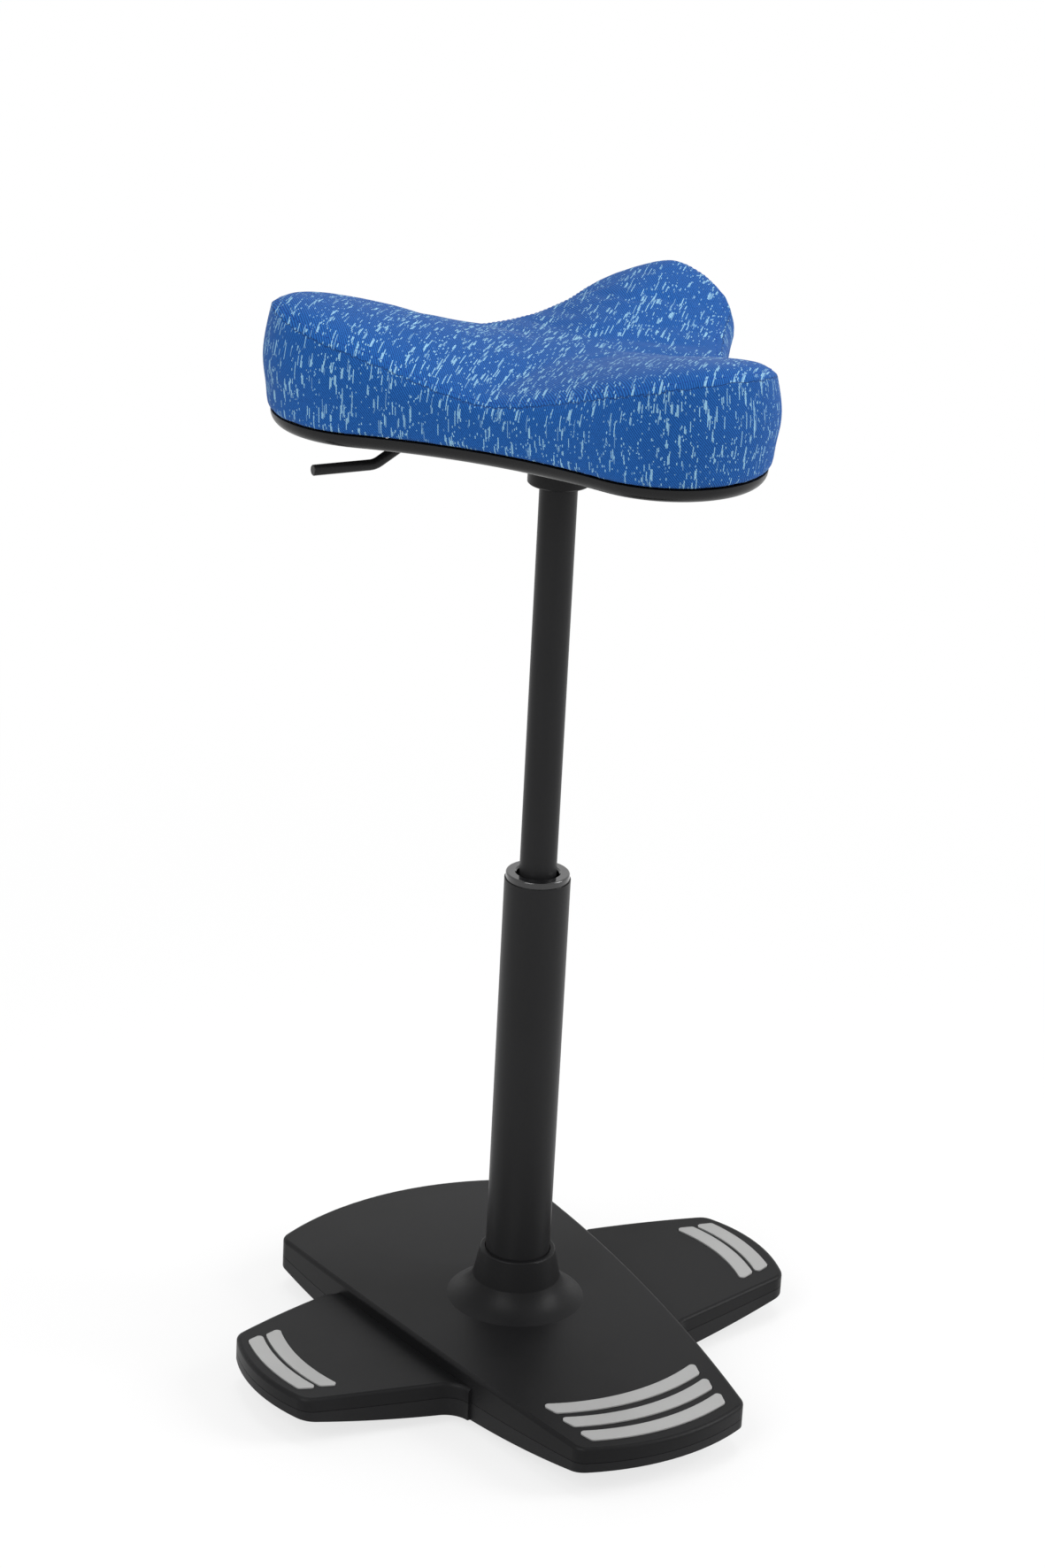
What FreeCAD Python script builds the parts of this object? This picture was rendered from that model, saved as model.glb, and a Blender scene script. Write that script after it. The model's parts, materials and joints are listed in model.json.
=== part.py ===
import FreeCAD, Part
import math
import os
import Sketcher

Vector = FreeCAD.Vector
Z_AXIS = Vector(0, 0, 1)

# Driving sizes in millimetres and degrees. Heights are above the floor, and the front
# tread points along -Y.
SIZES = {
    # Tread, the long part of the base
    "tread_front_corner": 211.0,
    "tread_front_half_width": 74.0,
    "tread_front_arc": 174.0,
    "tread_back_corner": 172.0,
    "tread_back_half_width": 115.5,
    "tread_back_arc": 244.0,
    "tread_side_arc": 2300.0,
    "tread_corner_round": 13.0,
    "tread_top": 48.0,
    "tread_dome": 3600.0,
    # Side wings
    "wing_tip_corner": 217.0,
    "wing_tip_arc": 130.0,
    "wing_front_tip": 58.0,
    "wing_front_root": 76.0,
    "wing_back_tip": 54.0,
    "wing_back_root": 85.0,
    "wing_back_arc": 700.0,
    "wing_corner_round": 15.0,
    "wing_root": 122.0,
    "wing_root_flare": 16.0,
    "wing_root_top": 35.5,
    "wing_tip_top": 40.0,
    # Shells of the base
    "parting_middle": 20.0,
    "parting_dome": 2800.0,
    "parting_gap": 0.4,
    "sole_flat": 97.0,
    "sole_step": 6.0,
    "rocker_reach": 228.0,
    "rocker_arc": 900.0,
    "rocker_rise": 22.0,
    "shell_wall": 3.5,
    "top_edge_round": 3.0,
    # Collar round the column
    "collar_top": 89.5,
    "collar_rim_radius": 29.3,
    "collar_rim_round": 1.5,
    "collar_bore": 25.7,
    "collar_bore_depth": 9.0,
    "collar_neck_radius": 34.0,
    "collar_neck_height": 66.0,
    "collar_foot_radius": 63.0,
    "collar_sweep": 30.0,
    # Grip strips
    "grip_width": 12.5,
    "grip_pitch": 20.0,
    "grip_first": 170.0,
    "grip_arc": 172.0,
    "grip_half_length": 69.0,
    "grip_length_step": 2.5,
    "wing_grip_pitch": 16.0,
    "wing_grip_first": 197.0,
    "wing_grip_arc": 156.0,
    "wing_grip_half_length": 48.0,
    "wing_grip_length_step": 3.0,
    "grip_slant": 5.0,
    "grip_proud": 0.6,
    "grip_sunk": 1.6,
    "grip_gap": 0.7,
    "grip_corner_round": 3.0,
    # Rubber sole ring
    "sole_outer": 92.0,
    "sole_inner": 66.0,
    "sole_thickness": 3.0,
    "sole_recess": 2.0,
    # Ballast, hub and fasteners of the base
    "ballast_radius": 86.0,
    "ballast_thickness": 10.0,
    "seat_gap": 0.3,
    "hub_flange_radius": 50.0,
    "hub_flange_thickness": 5.0,
    "hub_radius": 29.6,
    "hub_top": 61.0,
    "hub_ledge": 14.0,
    "hub_bolt_circle": 40.0,
    "hub_bolt_radius": 4.0,
    "hub_bolt_head_radius": 6.5,
    "hub_bolt_head_height": 6.0,
    "screw_radius": 2.0,
    "screw_head_radius": 4.0,
    "screw_head_height": 2.5,
    "screw_length": 18.0,
    "boss_radius": 5.5,
    "boss_tread_front": 186.0,
    "boss_tread_back": 150.0,
    "boss_tread_side": 72.0,
    "boss_wing": 180.0,
    # Outer column
    "column_radius": 25.0,
    "column_wall": 1.6,
    "column_floor": 2.5,
    "column_top": 400.0,
    "slide_gap": 0.08,
    "press_gap": 0.1,
    "ring_radius": 24.1,
    "ring_height": 5.2,
    "ring_round": 1.2,
    "ring_bore": 16.2,
    "ring_spigot": 12.0,
    "sleeve_length": 64.0,
    "sleeve_relief": 1.5,
    # Gas cylinder
    "lift_radius": 14.0,
    "lift_wall": 2.4,
    "lift_overlap": 76.0,
    "lift_taper_length": 49.2,
    "lift_taper_drop": 0.8,
    "lift_cap": 4.0,
    "lift_stroke": 260.0,
    "rod_radius": 5.0,
    "rod_groove": 1.0,
    "rod_tail": 3.6,
    "piston_length": 14.0,
    "end_plug_length": 10.0,
    "buffer_radius": 11.0,
    "buffer_length": 14.0,
    "race_radius": 13.0,
    "race_thickness": 1.6,
    "ball_radius": 1.6,
    "ball_circle": 9.4,
    "clip_radius": 8.0,
    "clip_thickness": 1.4,
    "valve_body_length": 26.0,
    "valve_pin_radius": 3.0,
    "valve_pin_proud": 6.4,
    "valve_pin_length": 26.0,
    # Seat mechanism
    "shroud_bottom": 707.8,
    "shroud_radius": 22.95,
    "shroud_wall": 2.2,
    "shroud_flare": 1.2,
    "socket_wall": 3.5,
    "socket_rise": 4.0,
    "plate_half": 64.0,
    "plate_corner": 10.0,
    "plate_thickness": 3.0,
    "plate_bolt_half": 50.0,
    "plate_bolt_radius": 3.0,
    "plate_bolt_head_radius": 5.5,
    "plate_bolt_head_height": 2.8,
    "nut_radius": 5.0,
    "nut_height": 9.0,
    "ear_reach": 7.0,
    "ear_height": 8.5,
    "ear_thickness": 2.5,
    "ear_gap": 0.4,
    "pivot_reach": 30.0,
    "pivot_radius": 2.0,
    "lever_radius": 3.9,
    "lever_turn": 175.3,
    "lever_rise": 4.3,
    "lever_inner": 7.0,
    "lever_knee": 92.0,
    "lever_bend": 147.0,
    "lever_end": 194.5,
    "lever_height": 735.0,
    "lever_bend_radius": 14.0,
    # Seat
    "seat_turn": 33.9,
    "side_lobe_x": -81.0,
    "side_lobe_y": 112.7,
    "side_lobe_radius": 74.6,
    "end_lobe_x": 144.5,
    "end_lobe_radius": 65.0,
    "side_waist_arc": 345.0,
    "end_waist_arc": 410.0,
    "pan_rim": 763.3,
    "pan_depth": 10.3,
    "pan_wall": 2.5,
    "pan_round": 9.5,
    "pan_inset": 3.5,
    "pan_hole": 23.6,
    "lever_slot_half_width": 7.0,
    "lever_slot_inner": 88.0,
    "lever_slot_outer": 142.0,
    "board_thickness": 13.0,
    "board_inset": 20.0,
    "board_channel_half": 13.0,
    "cushion_seam_side_lobe": 74.7,
    "cushion_seam_side_waist": 34.4,
    "cushion_seam_end_lobe": 65.9,
    "cushion_seam_end_waist": 34.4,
    "cushion_side_lobe_peak": 1.1,
    "cushion_end_lobe_peak": 4.2,
    "cushion_crown": 3.2,
    "cushion_edge_crown": 1.5,
    "cushion_middle": 41.4,
    "cushion_inset": 3.0,
    "cushion_bottom_round": 16.0,
    "cushion_seam_tuck": 1.6,
    "pan_screw_side": 0.86,
}

doc = FreeCAD.newDocument("wobble_stool")
sheet = doc.addObject("Spreadsheet::Sheet", "Sizes")
for row, (alias, number) in enumerate(SIZES.items(), start=1):
    sheet.set(f"A{row}", alias)
    sheet.set(f"B{row}", str(number))
    sheet.setAlias(f"B{row}", alias)
doc.recompute()


class Size:
    """A length of the stool: its number, and the text that binds a property to the sheet."""

    def __init__(self, number, text=None):
        self.number = float(number)
        self.text = text if text else f"({self.number})"

    def _with(self, other, sign, number):
        return Size(number, f"({self.text} {sign} {other.text})")

    def __add__(self, other):
        other = as_size(other)
        return self._with(other, "+", self.number + other.number)

    def __sub__(self, other):
        other = as_size(other)
        return self._with(other, "-", self.number - other.number)

    def __mul__(self, other):
        other = as_size(other)
        return self._with(other, "*", self.number * other.number)

    def __truediv__(self, other):
        other = as_size(other)
        return self._with(other, "/", self.number / other.number)

    def __neg__(self):
        return Size(0) - self

    def __radd__(self, other):
        return as_size(other) + self

    def __rsub__(self, other):
        return as_size(other) - self

    def __rmul__(self, other):
        return as_size(other) * self


def as_size(value):
    return value if isinstance(value, Size) else Size(value)


def size(alias):
    return Size(sheet.get(alias), f"Sizes.{alias}")


def bind(thing, path, length):
    thing.setExpression(path, as_size(length).text)


sub_parts = []


def keep(thing, label):
    """Names a finished sub-part and puts it on the list of those that are written."""
    thing.Label = label
    sub_parts.append(thing)
    return thing


def origin_plane(body, role):
    return [item for item in body.Origin.OriginFeatures if item.Role == role][0]


def new_sketch(body, name, role, offset=None):
    sketch = body.newObject("Sketcher::SketchObject", name)
    sketch.AttachmentSupport = [(origin_plane(body, role), "")]
    sketch.MapMode = "FlatFace"
    if offset is not None:
        bind(sketch, "AttachmentOffset.Base.z", offset)
    return sketch


def arc_between(start, end, radius):
    """An arc that leaves its chord to the right of the way from start to end when radius is
    positive, and to the left when it is negative. Sketch arcs always run anticlockwise."""
    chord = end - start
    middle = (start + end) * 0.5
    rise = math.sqrt(radius * radius - chord.Length ** 2 / 4)
    left = Vector(-chord.y, chord.x, 0).normalize()
    centre = middle + left * math.copysign(rise, radius)
    first, last = (start, end) if radius > 0 else (end, start)
    angles = [math.atan2(point.y - centre.y, point.x - centre.x) for point in (first, last)]
    if angles[1] < angles[0]:
        angles[1] += 2 * math.pi
    return Part.ArcOfCircle(Part.Circle(centre, Z_AXIS, abs(radius)), *angles)


def draw_outline(sketch, corners, arcs=None):
    """Draws a closed outline of straight runs and arcs. arcs gives the radius of each run
    that is one, by its number, and every corner and radius is bound to the sheet."""
    arcs = arcs or {}
    count = len(corners)
    points = [Vector(as_size(x).number, as_size(y).number, 0) for x, y in corners]
    starts = []
    for run in range(count):
        start, end = points[run], points[(run + 1) % count]
        if run in arcs:
            radius = as_size(arcs[run]).number
            sketch.addGeometry(arc_between(start, end, radius), False)
            starts.append((1, 2) if radius > 0 else (2, 1))
        else:
            sketch.addGeometry(Part.LineSegment(start, end), False)
            starts.append((1, 2))
    for run in range(count):
        after = (run + 1) % count
        joint = Sketcher.Constraint("Coincident", run, starts[run][1], after, starts[after][0])
        sketch.addConstraint(joint)
    for run, corner in enumerate(corners):
        for kind, place in zip(("DistanceX", "DistanceY"), corner):
            place = as_size(place)
            limit = Sketcher.Constraint(kind, -1, 1, run, starts[run][0], place.number)
            number = sketch.addConstraint(limit)
            sketch.setExpression(f"Constraints[{number}]", place.text)
    for run, radius in arcs.items():
        radius = as_size(radius)
        number = sketch.addConstraint(Sketcher.Constraint("Radius", run, abs(radius.number)))
        sketch.setExpression(f"Constraints[{number}]", f"abs({radius.text})")


def new_body(name, height=None, turn=None):
    body = doc.addObject("PartDesign::Body", name)
    if turn is not None:
        body.Placement = FreeCAD.Placement(Vector(), FreeCAD.Rotation(Z_AXIS, turn.number))
    if height is not None:
        bind(body, "Placement.Base.z", height)
    return body


def turned(name, profile, height=None, arcs=None):
    """A body turned about the column's axis from a profile of (radius, height) corners."""
    body = new_body(name, height)
    sketch = new_sketch(body, f"{name}_profile", "XZ_Plane")
    draw_outline(sketch, profile, arcs)
    feature = body.newObject("PartDesign::Revolution", f"{name}_turned")
    feature.Profile = (sketch, [""])
    feature.ReferenceAxis = (sketch, ["V_Axis"])
    feature.Angle = 360
    return body


def padded(body, name, corners, length, arcs=None, offset=None, role="XY_Plane"):
    sketch = new_sketch(body, f"{name}_outline", role, offset)
    draw_outline(sketch, corners, arcs)
    feature = body.newObject("PartDesign::Pad", name)
    feature.Profile = (sketch, [""])
    bind(feature, "Length", length)
    return feature


def pocketed(body, name, draw, depth, offset, upwards=True):
    """Cuts a sketch that draw() fills, from the height offset, upwards or downwards."""
    sketch = new_sketch(body, f"{name}_outline", "XY_Plane", offset)
    draw(sketch)
    feature = body.newObject("PartDesign::Pocket", name)
    feature.Profile = (sketch, [""])
    bind(feature, "Length", depth)
    feature.Reversed = upwards
    return feature


def draw_circle(sketch, x, y, radius):
    x, y, radius = as_size(x), as_size(y), as_size(radius)
    place = Vector(x.number, y.number, 0)
    geometry = sketch.addGeometry(Part.Circle(place, Z_AXIS, radius.number), False)
    for kind, length in (("DistanceX", x), ("DistanceY", y)):
        limit = Sketcher.Constraint(kind, -1, 1, geometry, 3, length.number)
        sketch.setExpression(f"Constraints[{sketch.addConstraint(limit)}]", length.text)
    limit = Sketcher.Constraint("Radius", geometry, radius.number)
    sketch.setExpression(f"Constraints[{sketch.addConstraint(limit)}]", radius.text)


def box_corners(x_low, x_high, y_low, y_high):
    return [(x_low, y_low), (x_high, y_low), (x_high, y_high), (x_low, y_high)]


def edges_where(shape, test):
    """Numbers of the edges whose ends and middle all pass the test."""
    found = []
    for number, edge in enumerate(shape.Edges, start=1):
        middle = (edge.FirstParameter + edge.LastParameter) / 2
        points = [vertex.Point for vertex in edge.Vertexes] + [edge.valueAt(middle)]
        if all(test(point) for point in points):
            found.append(number)
    return found


def body_fillet(body, base, name, radius, test):
    doc.recompute()
    feature = body.newObject("PartDesign::Fillet", name)
    feature.Base = (base, [f"Edge{number}" for number in edges_where(base.Shape, test)])
    bind(feature, "Radius", radius)
    return feature


def upright(point_list_shape, x_test):
    return [number for number, edge in enumerate(point_list_shape.Edges, start=1)
            if len(edge.Vertexes) == 2
            and abs(edge.tangentAt(edge.FirstParameter).z) > 0.999
            and x_test(edge.Vertexes[0].Point)]


def combined(kind, name, shapes):
    feature = doc.addObject(f"Part::{kind}", name)
    feature.Shapes = shapes
    return feature


def cut(name, base, tool):
    feature = doc.addObject("Part::Cut", name)
    feature.Base = base
    feature.Tool = tool
    return feature


def cylinder(name, radius, height, x=0, y=0, z=0):
    feature = doc.addObject("Part::Cylinder", name)
    bind(feature, "Radius", radius)
    bind(feature, "Height", height)
    for axis, place in zip("xyz", (x, y, z)):
        bind(feature, f"Placement.Base.{axis}", place)
    return feature


# Base outlines
#
# Every outline runs anticlockwise seen from above, and takes an inset, so that the inside of a
# wall comes from the same sizes as its outside.

HALF_TALL = 60


def tread_block(name, inset, bottom, top):
    """The tread's outline drawn up as a plain block, with its four upright corners rounded."""
    body = new_body(name, bottom)
    front_x = size("tread_front_half_width") - inset
    front_y = -(size("tread_front_corner") - inset)
    back_x = size("tread_back_half_width") - inset
    back_y = size("tread_back_corner") - inset
    corners = [(-front_x, front_y), (front_x, front_y), (back_x, back_y), (-back_x, back_y)]
    side = size("tread_side_arc") - inset
    arcs = {0: size("tread_front_arc") - inset, 1: side,
            2: size("tread_back_arc") - inset, 3: side}
    pad = padded(body, f"{name}_pad", corners, as_size(top) - bottom, arcs)
    round_corners(body, pad, name, size("tread_corner_round") - inset)
    return body


def round_corners(body, pad, name, radius):
    doc.recompute()
    feature = body.newObject("PartDesign::Fillet", f"{name}_corners")
    numbers = upright(pad.Shape, lambda point: True)
    feature.Base = (pad, [f"Edge{number}" for number in numbers])
    bind(feature, "Radius", radius)


def wing_block(name, inset, bottom, top):
    """Both wings as one band across the column, flared where they meet the tread."""
    body = new_body(name, bottom)
    tip = size("wing_tip_corner") - inset
    front_tip = -(size("wing_front_tip") - inset)
    back_tip = size("wing_back_tip") - inset
    root = size("wing_root") - inset
    front_root = -(size("wing_front_root") - inset)
    back_root = size("wing_back_root") - inset
    flare = size("wing_root_flare")
    inner = root - flare * 1.6
    corners = [
        (-inner, front_root - flare), (inner, front_root - flare), (root - flare * 0.6, front_root),
        (tip, front_tip), (tip, back_tip), (root, back_root),
        (inner, back_root + flare), (-inner, back_root + flare), (-root, back_root),
        (-tip, back_tip), (-tip, front_tip), (-(root - flare * 0.6), front_root),
    ]
    tip_arc = size("wing_tip_arc") - inset
    back_arc = size("wing_back_arc") - inset
    turn = -(flare * 1.15 + inset)
    arcs = {1: turn, 3: tip_arc, 4: back_arc, 5: turn, 7: turn, 8: back_arc, 9: tip_arc, 11: turn}
    pad = padded(body, f"{name}_pad", corners, as_size(top) - bottom, arcs)
    doc.recompute()
    feature = body.newObject("PartDesign::Fillet", f"{name}_corners")
    limit = tip.number - 1
    numbers = upright(pad.Shape, lambda point: abs(point.x) > limit)
    feature.Base = (pad, [f"Edge{number}" for number in numbers])
    bind(feature, "Radius", size("wing_corner_round") - inset)
    return body


def dome_fall(dome, reach):
    """How far a dome of that radius has fallen at that reach from the axis."""
    radius, out = as_size(dome), as_size(reach)
    number = radius.number - math.sqrt(radius.number ** 2 - out.number ** 2)
    return Size(number, f"({radius.text} - sqrt({radius.text} ^ 2 - {out.text} ^ 2))")


reach = size("rocker_reach") + 30


def under_dome(name, apex, dome, bottom):
    """A turned block below a dome, from a flat bottom."""
    edge = apex - dome_fall(dome, reach)
    return turned(name, [(0, bottom), (reach, bottom), (reach, edge), (0, apex)], arcs={2: dome})


def over_parting(name, apex, dome, top):
    """A turned block above a dish, up to a flat top: what lies over the parting line."""
    edge = apex + dome_fall(dome, reach)
    return turned(name, [(0, apex), (reach, edge), (reach, top), (0, top)], arcs={0: dome})


def wing_slab(name, drop):
    """The wings' side view: a top that climbs from the roots to the tips."""
    body = new_body(name)
    root_x = size("tread_back_half_width")
    slope = (size("wing_tip_top") - size("wing_root_top")) / (size("rocker_reach") - root_x)
    root_z = size("wing_root_top") - drop
    edge_z = root_z + slope * (reach - root_x)
    middle = root_z - slope * root_x
    corners = [(-reach, -HALF_TALL), (reach, -HALF_TALL), (reach, edge_z), (0, middle),
               (-reach, edge_z)]
    pad = padded(body, f"{name}_pad", corners, reach * 2, role="XZ_Plane")
    pad.Midplane = True
    return body


def tread_surface(name, drop):
    """A turned block under the tread's dome, lowered by drop."""
    return under_dome(name, size("tread_top") - drop, size("tread_dome") - drop, Size(0))


wall = size("shell_wall")
parting = size("parting_middle")
parting_dome = size("parting_dome")


def base_block(name, inset, drop, bottom, limits=None, softened=None):
    """The base's solid form down to a flat bottom: the domed tread and the climbing wings.

    limits are blocks that both are cut to, and softened gives a radius and the test of the
    edges that take it.
    """
    tread = tread_block(f"{name}_tread", inset, bottom, HALF_TALL)
    wings = wing_block(f"{name}_wings", inset, bottom, HALF_TALL)
    dome = under_dome(f"{name}_dome", size("tread_top") - drop, size("tread_dome") - drop, bottom)
    slab = wing_slab(f"{name}_slab", drop)
    limits = limits or []
    halves = [combined("MultiCommon", f"{name}_tread_form", [tread, dome] + limits),
              combined("MultiCommon", f"{name}_wing_form", [wings, slab] + limits)]
    if softened:
        radius, test = softened
        halves = [rounded(f"{half.Name}_softened", half, radius, test) for half in halves]
    feature = doc.addObject("Part::Fuse", name)
    feature.Base, feature.Tool = halves
    feature.Refine = False
    return feature


def on_tread_top(point):
    out = math.hypot(point.x, point.y)
    dome = size("tread_dome").number
    height = size("tread_top").number - dome + math.sqrt(dome * dome - out * out)
    return abs(point.z - height) < 0.02


def on_wing_top(point):
    root_x = size("tread_back_half_width").number
    rise = size("wing_tip_top").number - size("wing_root_top").number
    slope = rise / (size("rocker_reach").number - root_x)
    height = size("wing_root_top").number + slope * (abs(point.x) - root_x)
    return abs(point.z - height) < 0.02


def rounded(name, base, radius, test):
    doc.recompute()
    feature = doc.addObject("Part::Fillet", name)
    feature.Base = base
    feature.Edges = [(number, radius.number, radius.number)
                     for number in edges_where(base.Shape, test)]
    return feature


def boss_places():
    front, back = size("boss_tread_front"), size("boss_tread_back")
    side, wing = size("boss_tread_side"), size("boss_wing")
    return [(0, -front), (side, back), (-side, back), (wing, 0), (-wing, 0)]


def grip_corners(first, number, pitch, width, arc, half, step, slant, grow):
    """A curved band across -Y: its outer long edge bows away from the column."""
    outer_y = first + pitch * number + width / 2 + grow
    inner_y = outer_y - width - grow * 2
    outer_x = half - step * number - slant + grow
    inner_x = half - step * number + grow
    sag_outer = dome_fall(arc, outer_x)
    sag_inner = dome_fall(arc - width, inner_x)
    corners = [(-outer_x, -(outer_y - sag_outer)), (outer_x, -(outer_y - sag_outer)),
               (inner_x, -(inner_y - sag_inner)), (-inner_x, -(inner_y - sag_inner))]
    return corners, {0: arc + grow, 2: -(arc - width - grow)}


FRONT_GRIPS = 3
WING_GRIPS = 2


def grip_block(name, number, wing, grow, bottom, top, turn):
    prefix = "wing_grip" if wing else "grip"
    body = new_body(name, bottom, Size(turn))
    corners, arcs = grip_corners(
        size(f"{prefix}_first"), number, size(f"{prefix}_pitch"), size("grip_width"),
        size(f"{prefix}_arc"), size(f"{prefix}_half_length"), size(f"{prefix}_length_step"),
        size("grip_slant"), Size(grow))
    pad = padded(body, f"{name}_pad", corners, as_size(top) - bottom, arcs)
    doc.recompute()
    feature = body.newObject("PartDesign::Fillet", f"{name}_corners")
    numbers = upright(pad.Shape, lambda point: True)
    feature.Base = (pad, [f"Edge{edge}" for edge in numbers])
    bind(feature, "Radius", size("grip_corner_round") + grow)
    return body


def grip_blocks(name, grow, bottom, top):
    """All strips, as (front, left, right) lists of blocks."""
    front = [grip_block(f"{name}_front_{number}", number, False, grow, bottom, top, 0)
             for number in range(FRONT_GRIPS)]
    left = [grip_block(f"{name}_left_{number}", number, True, grow, bottom, top, -90)
            for number in range(WING_GRIPS)]
    right = [grip_block(f"{name}_right_{number}", number, True, grow, bottom, top, 90)
             for number in range(WING_GRIPS)]
    return front, left, right


def on_top_rim(point):
    inside = abs(point.x) < 20 and abs(point.y) < 100
    return not inside and (on_tread_top(point) or on_wing_top(point))


def make_base_cover():
    over = over_parting("over_parting", parting, parting_dome, 200)
    solid = base_block("cover_solid", Size(0), Size(0), parting, [over],
                       (size("top_edge_round"), on_top_rim))
    foot_z = size("tread_top") - dome_fall(size("tread_dome"), size("collar_foot_radius")) - 1
    collar = turned("collar", [
        (size("collar_bore"), foot_z - 4),
        (size("collar_foot_radius") + 2, foot_z - 4),
        (size("collar_foot_radius") + 2, foot_z),
        (size("collar_neck_radius"), size("collar_neck_height")),
        (size("collar_rim_radius"), size("collar_top") - size("collar_rim_round")),
        (size("collar_rim_radius") - size("collar_rim_round"), size("collar_top")),
        (size("collar_bore"), size("collar_top")),
    ], arcs={2: -size("collar_sweep"), 4: size("collar_rim_round")})
    joined = combined("MultiFuse", "cover_joined", [solid, collar])
    hollow = base_block("cover_hollow", wall, wall, parting - 5)
    bore_radius = size("hub_radius") + 1
    bore = turned("collar_inside", [
        (0, 0), (bore_radius, 0), (bore_radius, size("hub_top") + 2),
        (size("collar_bore"), size("collar_top") - size("collar_bore_depth")),
        (size("collar_bore"), size("collar_top") + 5), (0, size("collar_top") + 5),
    ])
    bosses = [cylinder(f"cover_boss_{number}", size("boss_radius"), 40, x, y, parting)
              for number, (x, y) in enumerate(boss_places())]
    pilots = [cylinder(f"cover_pilot_{number}", size("screw_radius"), size("screw_length"), x, y,
                       screw_seat() + size("screw_head_height"))
              for number, (x, y) in enumerate(boss_places())]
    hollow_round_bosses = cut("cover_room", hollow, combined("MultiFuse", "cover_bosses", bosses))
    front, left, right = grip_blocks("recess", size("grip_gap").number, parting + 5, HALF_TALL)
    front_recess = cut("front_recess", combined("MultiFuse", "front_recess_blocks", front),
                       tread_surface("front_recess", size("grip_sunk")))
    wing_recess = cut("wing_recess", combined("MultiFuse", "wing_recess_blocks", left + right),
                      wing_slab("wing_recess_floor", size("grip_sunk")))
    removed = combined("MultiFuse", "cover_removed",
                       [hollow_round_bosses, bore, front_recess, wing_recess] + pilots)
    keep(cut("base_cover_shape", joined, removed), "base_cover")


def make_grips():
    sunk, proud = size("grip_sunk"), -size("grip_proud")
    tread_skin = cut("grip_tread_skin", tread_surface("grip_tread_crown", proud),
                     tread_surface("grip_tread_floor", sunk))
    wing_skin = cut("grip_wing_skin", wing_slab("grip_wing_crown", proud),
                    wing_slab("grip_wing_floor", sunk))
    labels = ("front_grip_strips", "left_grip_strips", "right_grip_strips")
    skins = (tread_skin, wing_skin, wing_skin)
    blocks_by_side = grip_blocks("grip", 0, parting + 5, HALF_TALL)
    for label, skin, blocks in zip(labels, skins, blocks_by_side):
        strips = [combined("MultiCommon", f"{label}_{number}", [block, skin])
                  for number, block in enumerate(blocks)]
        group = doc.addObject("Part::Compound", f"{label}_group")
        group.Links = strips
        keep(group, label)


rocker_start = size("sole_flat") + size("sole_step")


def rocker_height(out):
    """Height of the rocking underside at that reach from the axis, past the sole's step."""
    run = size("rocker_reach") - rocker_start
    bow = dome_fall(size("rocker_arc"), run / 2)
    slope = (size("rocker_rise") - size("sole_step")) / run
    along = out - rocker_start
    chord = size("sole_step") + slope * along
    if abs(out.number - rocker_start.number) < 0.001:
        return size("sole_step")
    return chord - bow * 4 * (along / run) * (1 - along / run)


def under_surface(name, lift, top):
    """A turned block over the underside: a flat sole, a step up and the rocking curve."""
    flat = size("sole_flat")
    arc = size("rocker_arc") - lift
    return turned(name, [
        (0, lift), (flat, lift), (rocker_start, size("sole_step") + lift),
        (reach, rocker_height(reach) + lift), (reach, top), (0, top)], arcs={2: arc})


def screw_seat():
    """Height of the screw heads' seats: just over the rubber sole's recess."""
    return size("sole_recess") + 13


def make_under_shell():
    parting_low = parting - size("parting_gap")
    lower = under_dome_dish("under_parting", parting_low, -10)
    skin = under_surface("under_skin", Size(0), 120)
    block = base_block("under_solid", Size(0), Size(0), Size(-5), [lower, skin])
    room = combined("MultiCommon", "under_room", [
        base_block("under_inner", wall, Size(-20), Size(-5)),
        under_surface("under_inner_skin", wall, 120),
    ])
    bosses = [cylinder(f"under_boss_{number}", size("boss_radius"), 40, x, y, 0)
              for number, (x, y) in enumerate(boss_places())]
    room_round_bosses = cut("under_room_left", room, combined("MultiFuse", "under_bosses", bosses))
    heads = [cylinder(f"under_head_{number}", size("screw_head_radius") + 0.3, 30, x, y,
                      screw_seat() - 30)
             for number, (x, y) in enumerate(boss_places())]
    shanks = [cylinder(f"under_shank_{number}", size("screw_radius") + 0.2, 30, x, y,
                       screw_seat() - 1)
              for number, (x, y) in enumerate(boss_places())]
    sole = turned("sole_room", [
        (size("sole_inner"), -1), (size("sole_outer"), -1),
        (size("sole_outer"), size("sole_recess")), (size("sole_inner"), size("sole_recess")),
    ])
    removed = combined("MultiFuse", "under_removed", [room_round_bosses, sole] + heads + shanks)
    hollow = cut("under_hollow", block, removed)
    keep(hollow, "base_under_shell")


def under_dome_dish(name, apex, bottom):
    """A turned block under the dished parting line."""
    edge = apex + dome_fall(parting_dome, reach)
    return turned(name, [(0, bottom), (reach, bottom), (reach, edge), (0, apex)],
                  arcs={2: -parting_dome})


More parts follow.
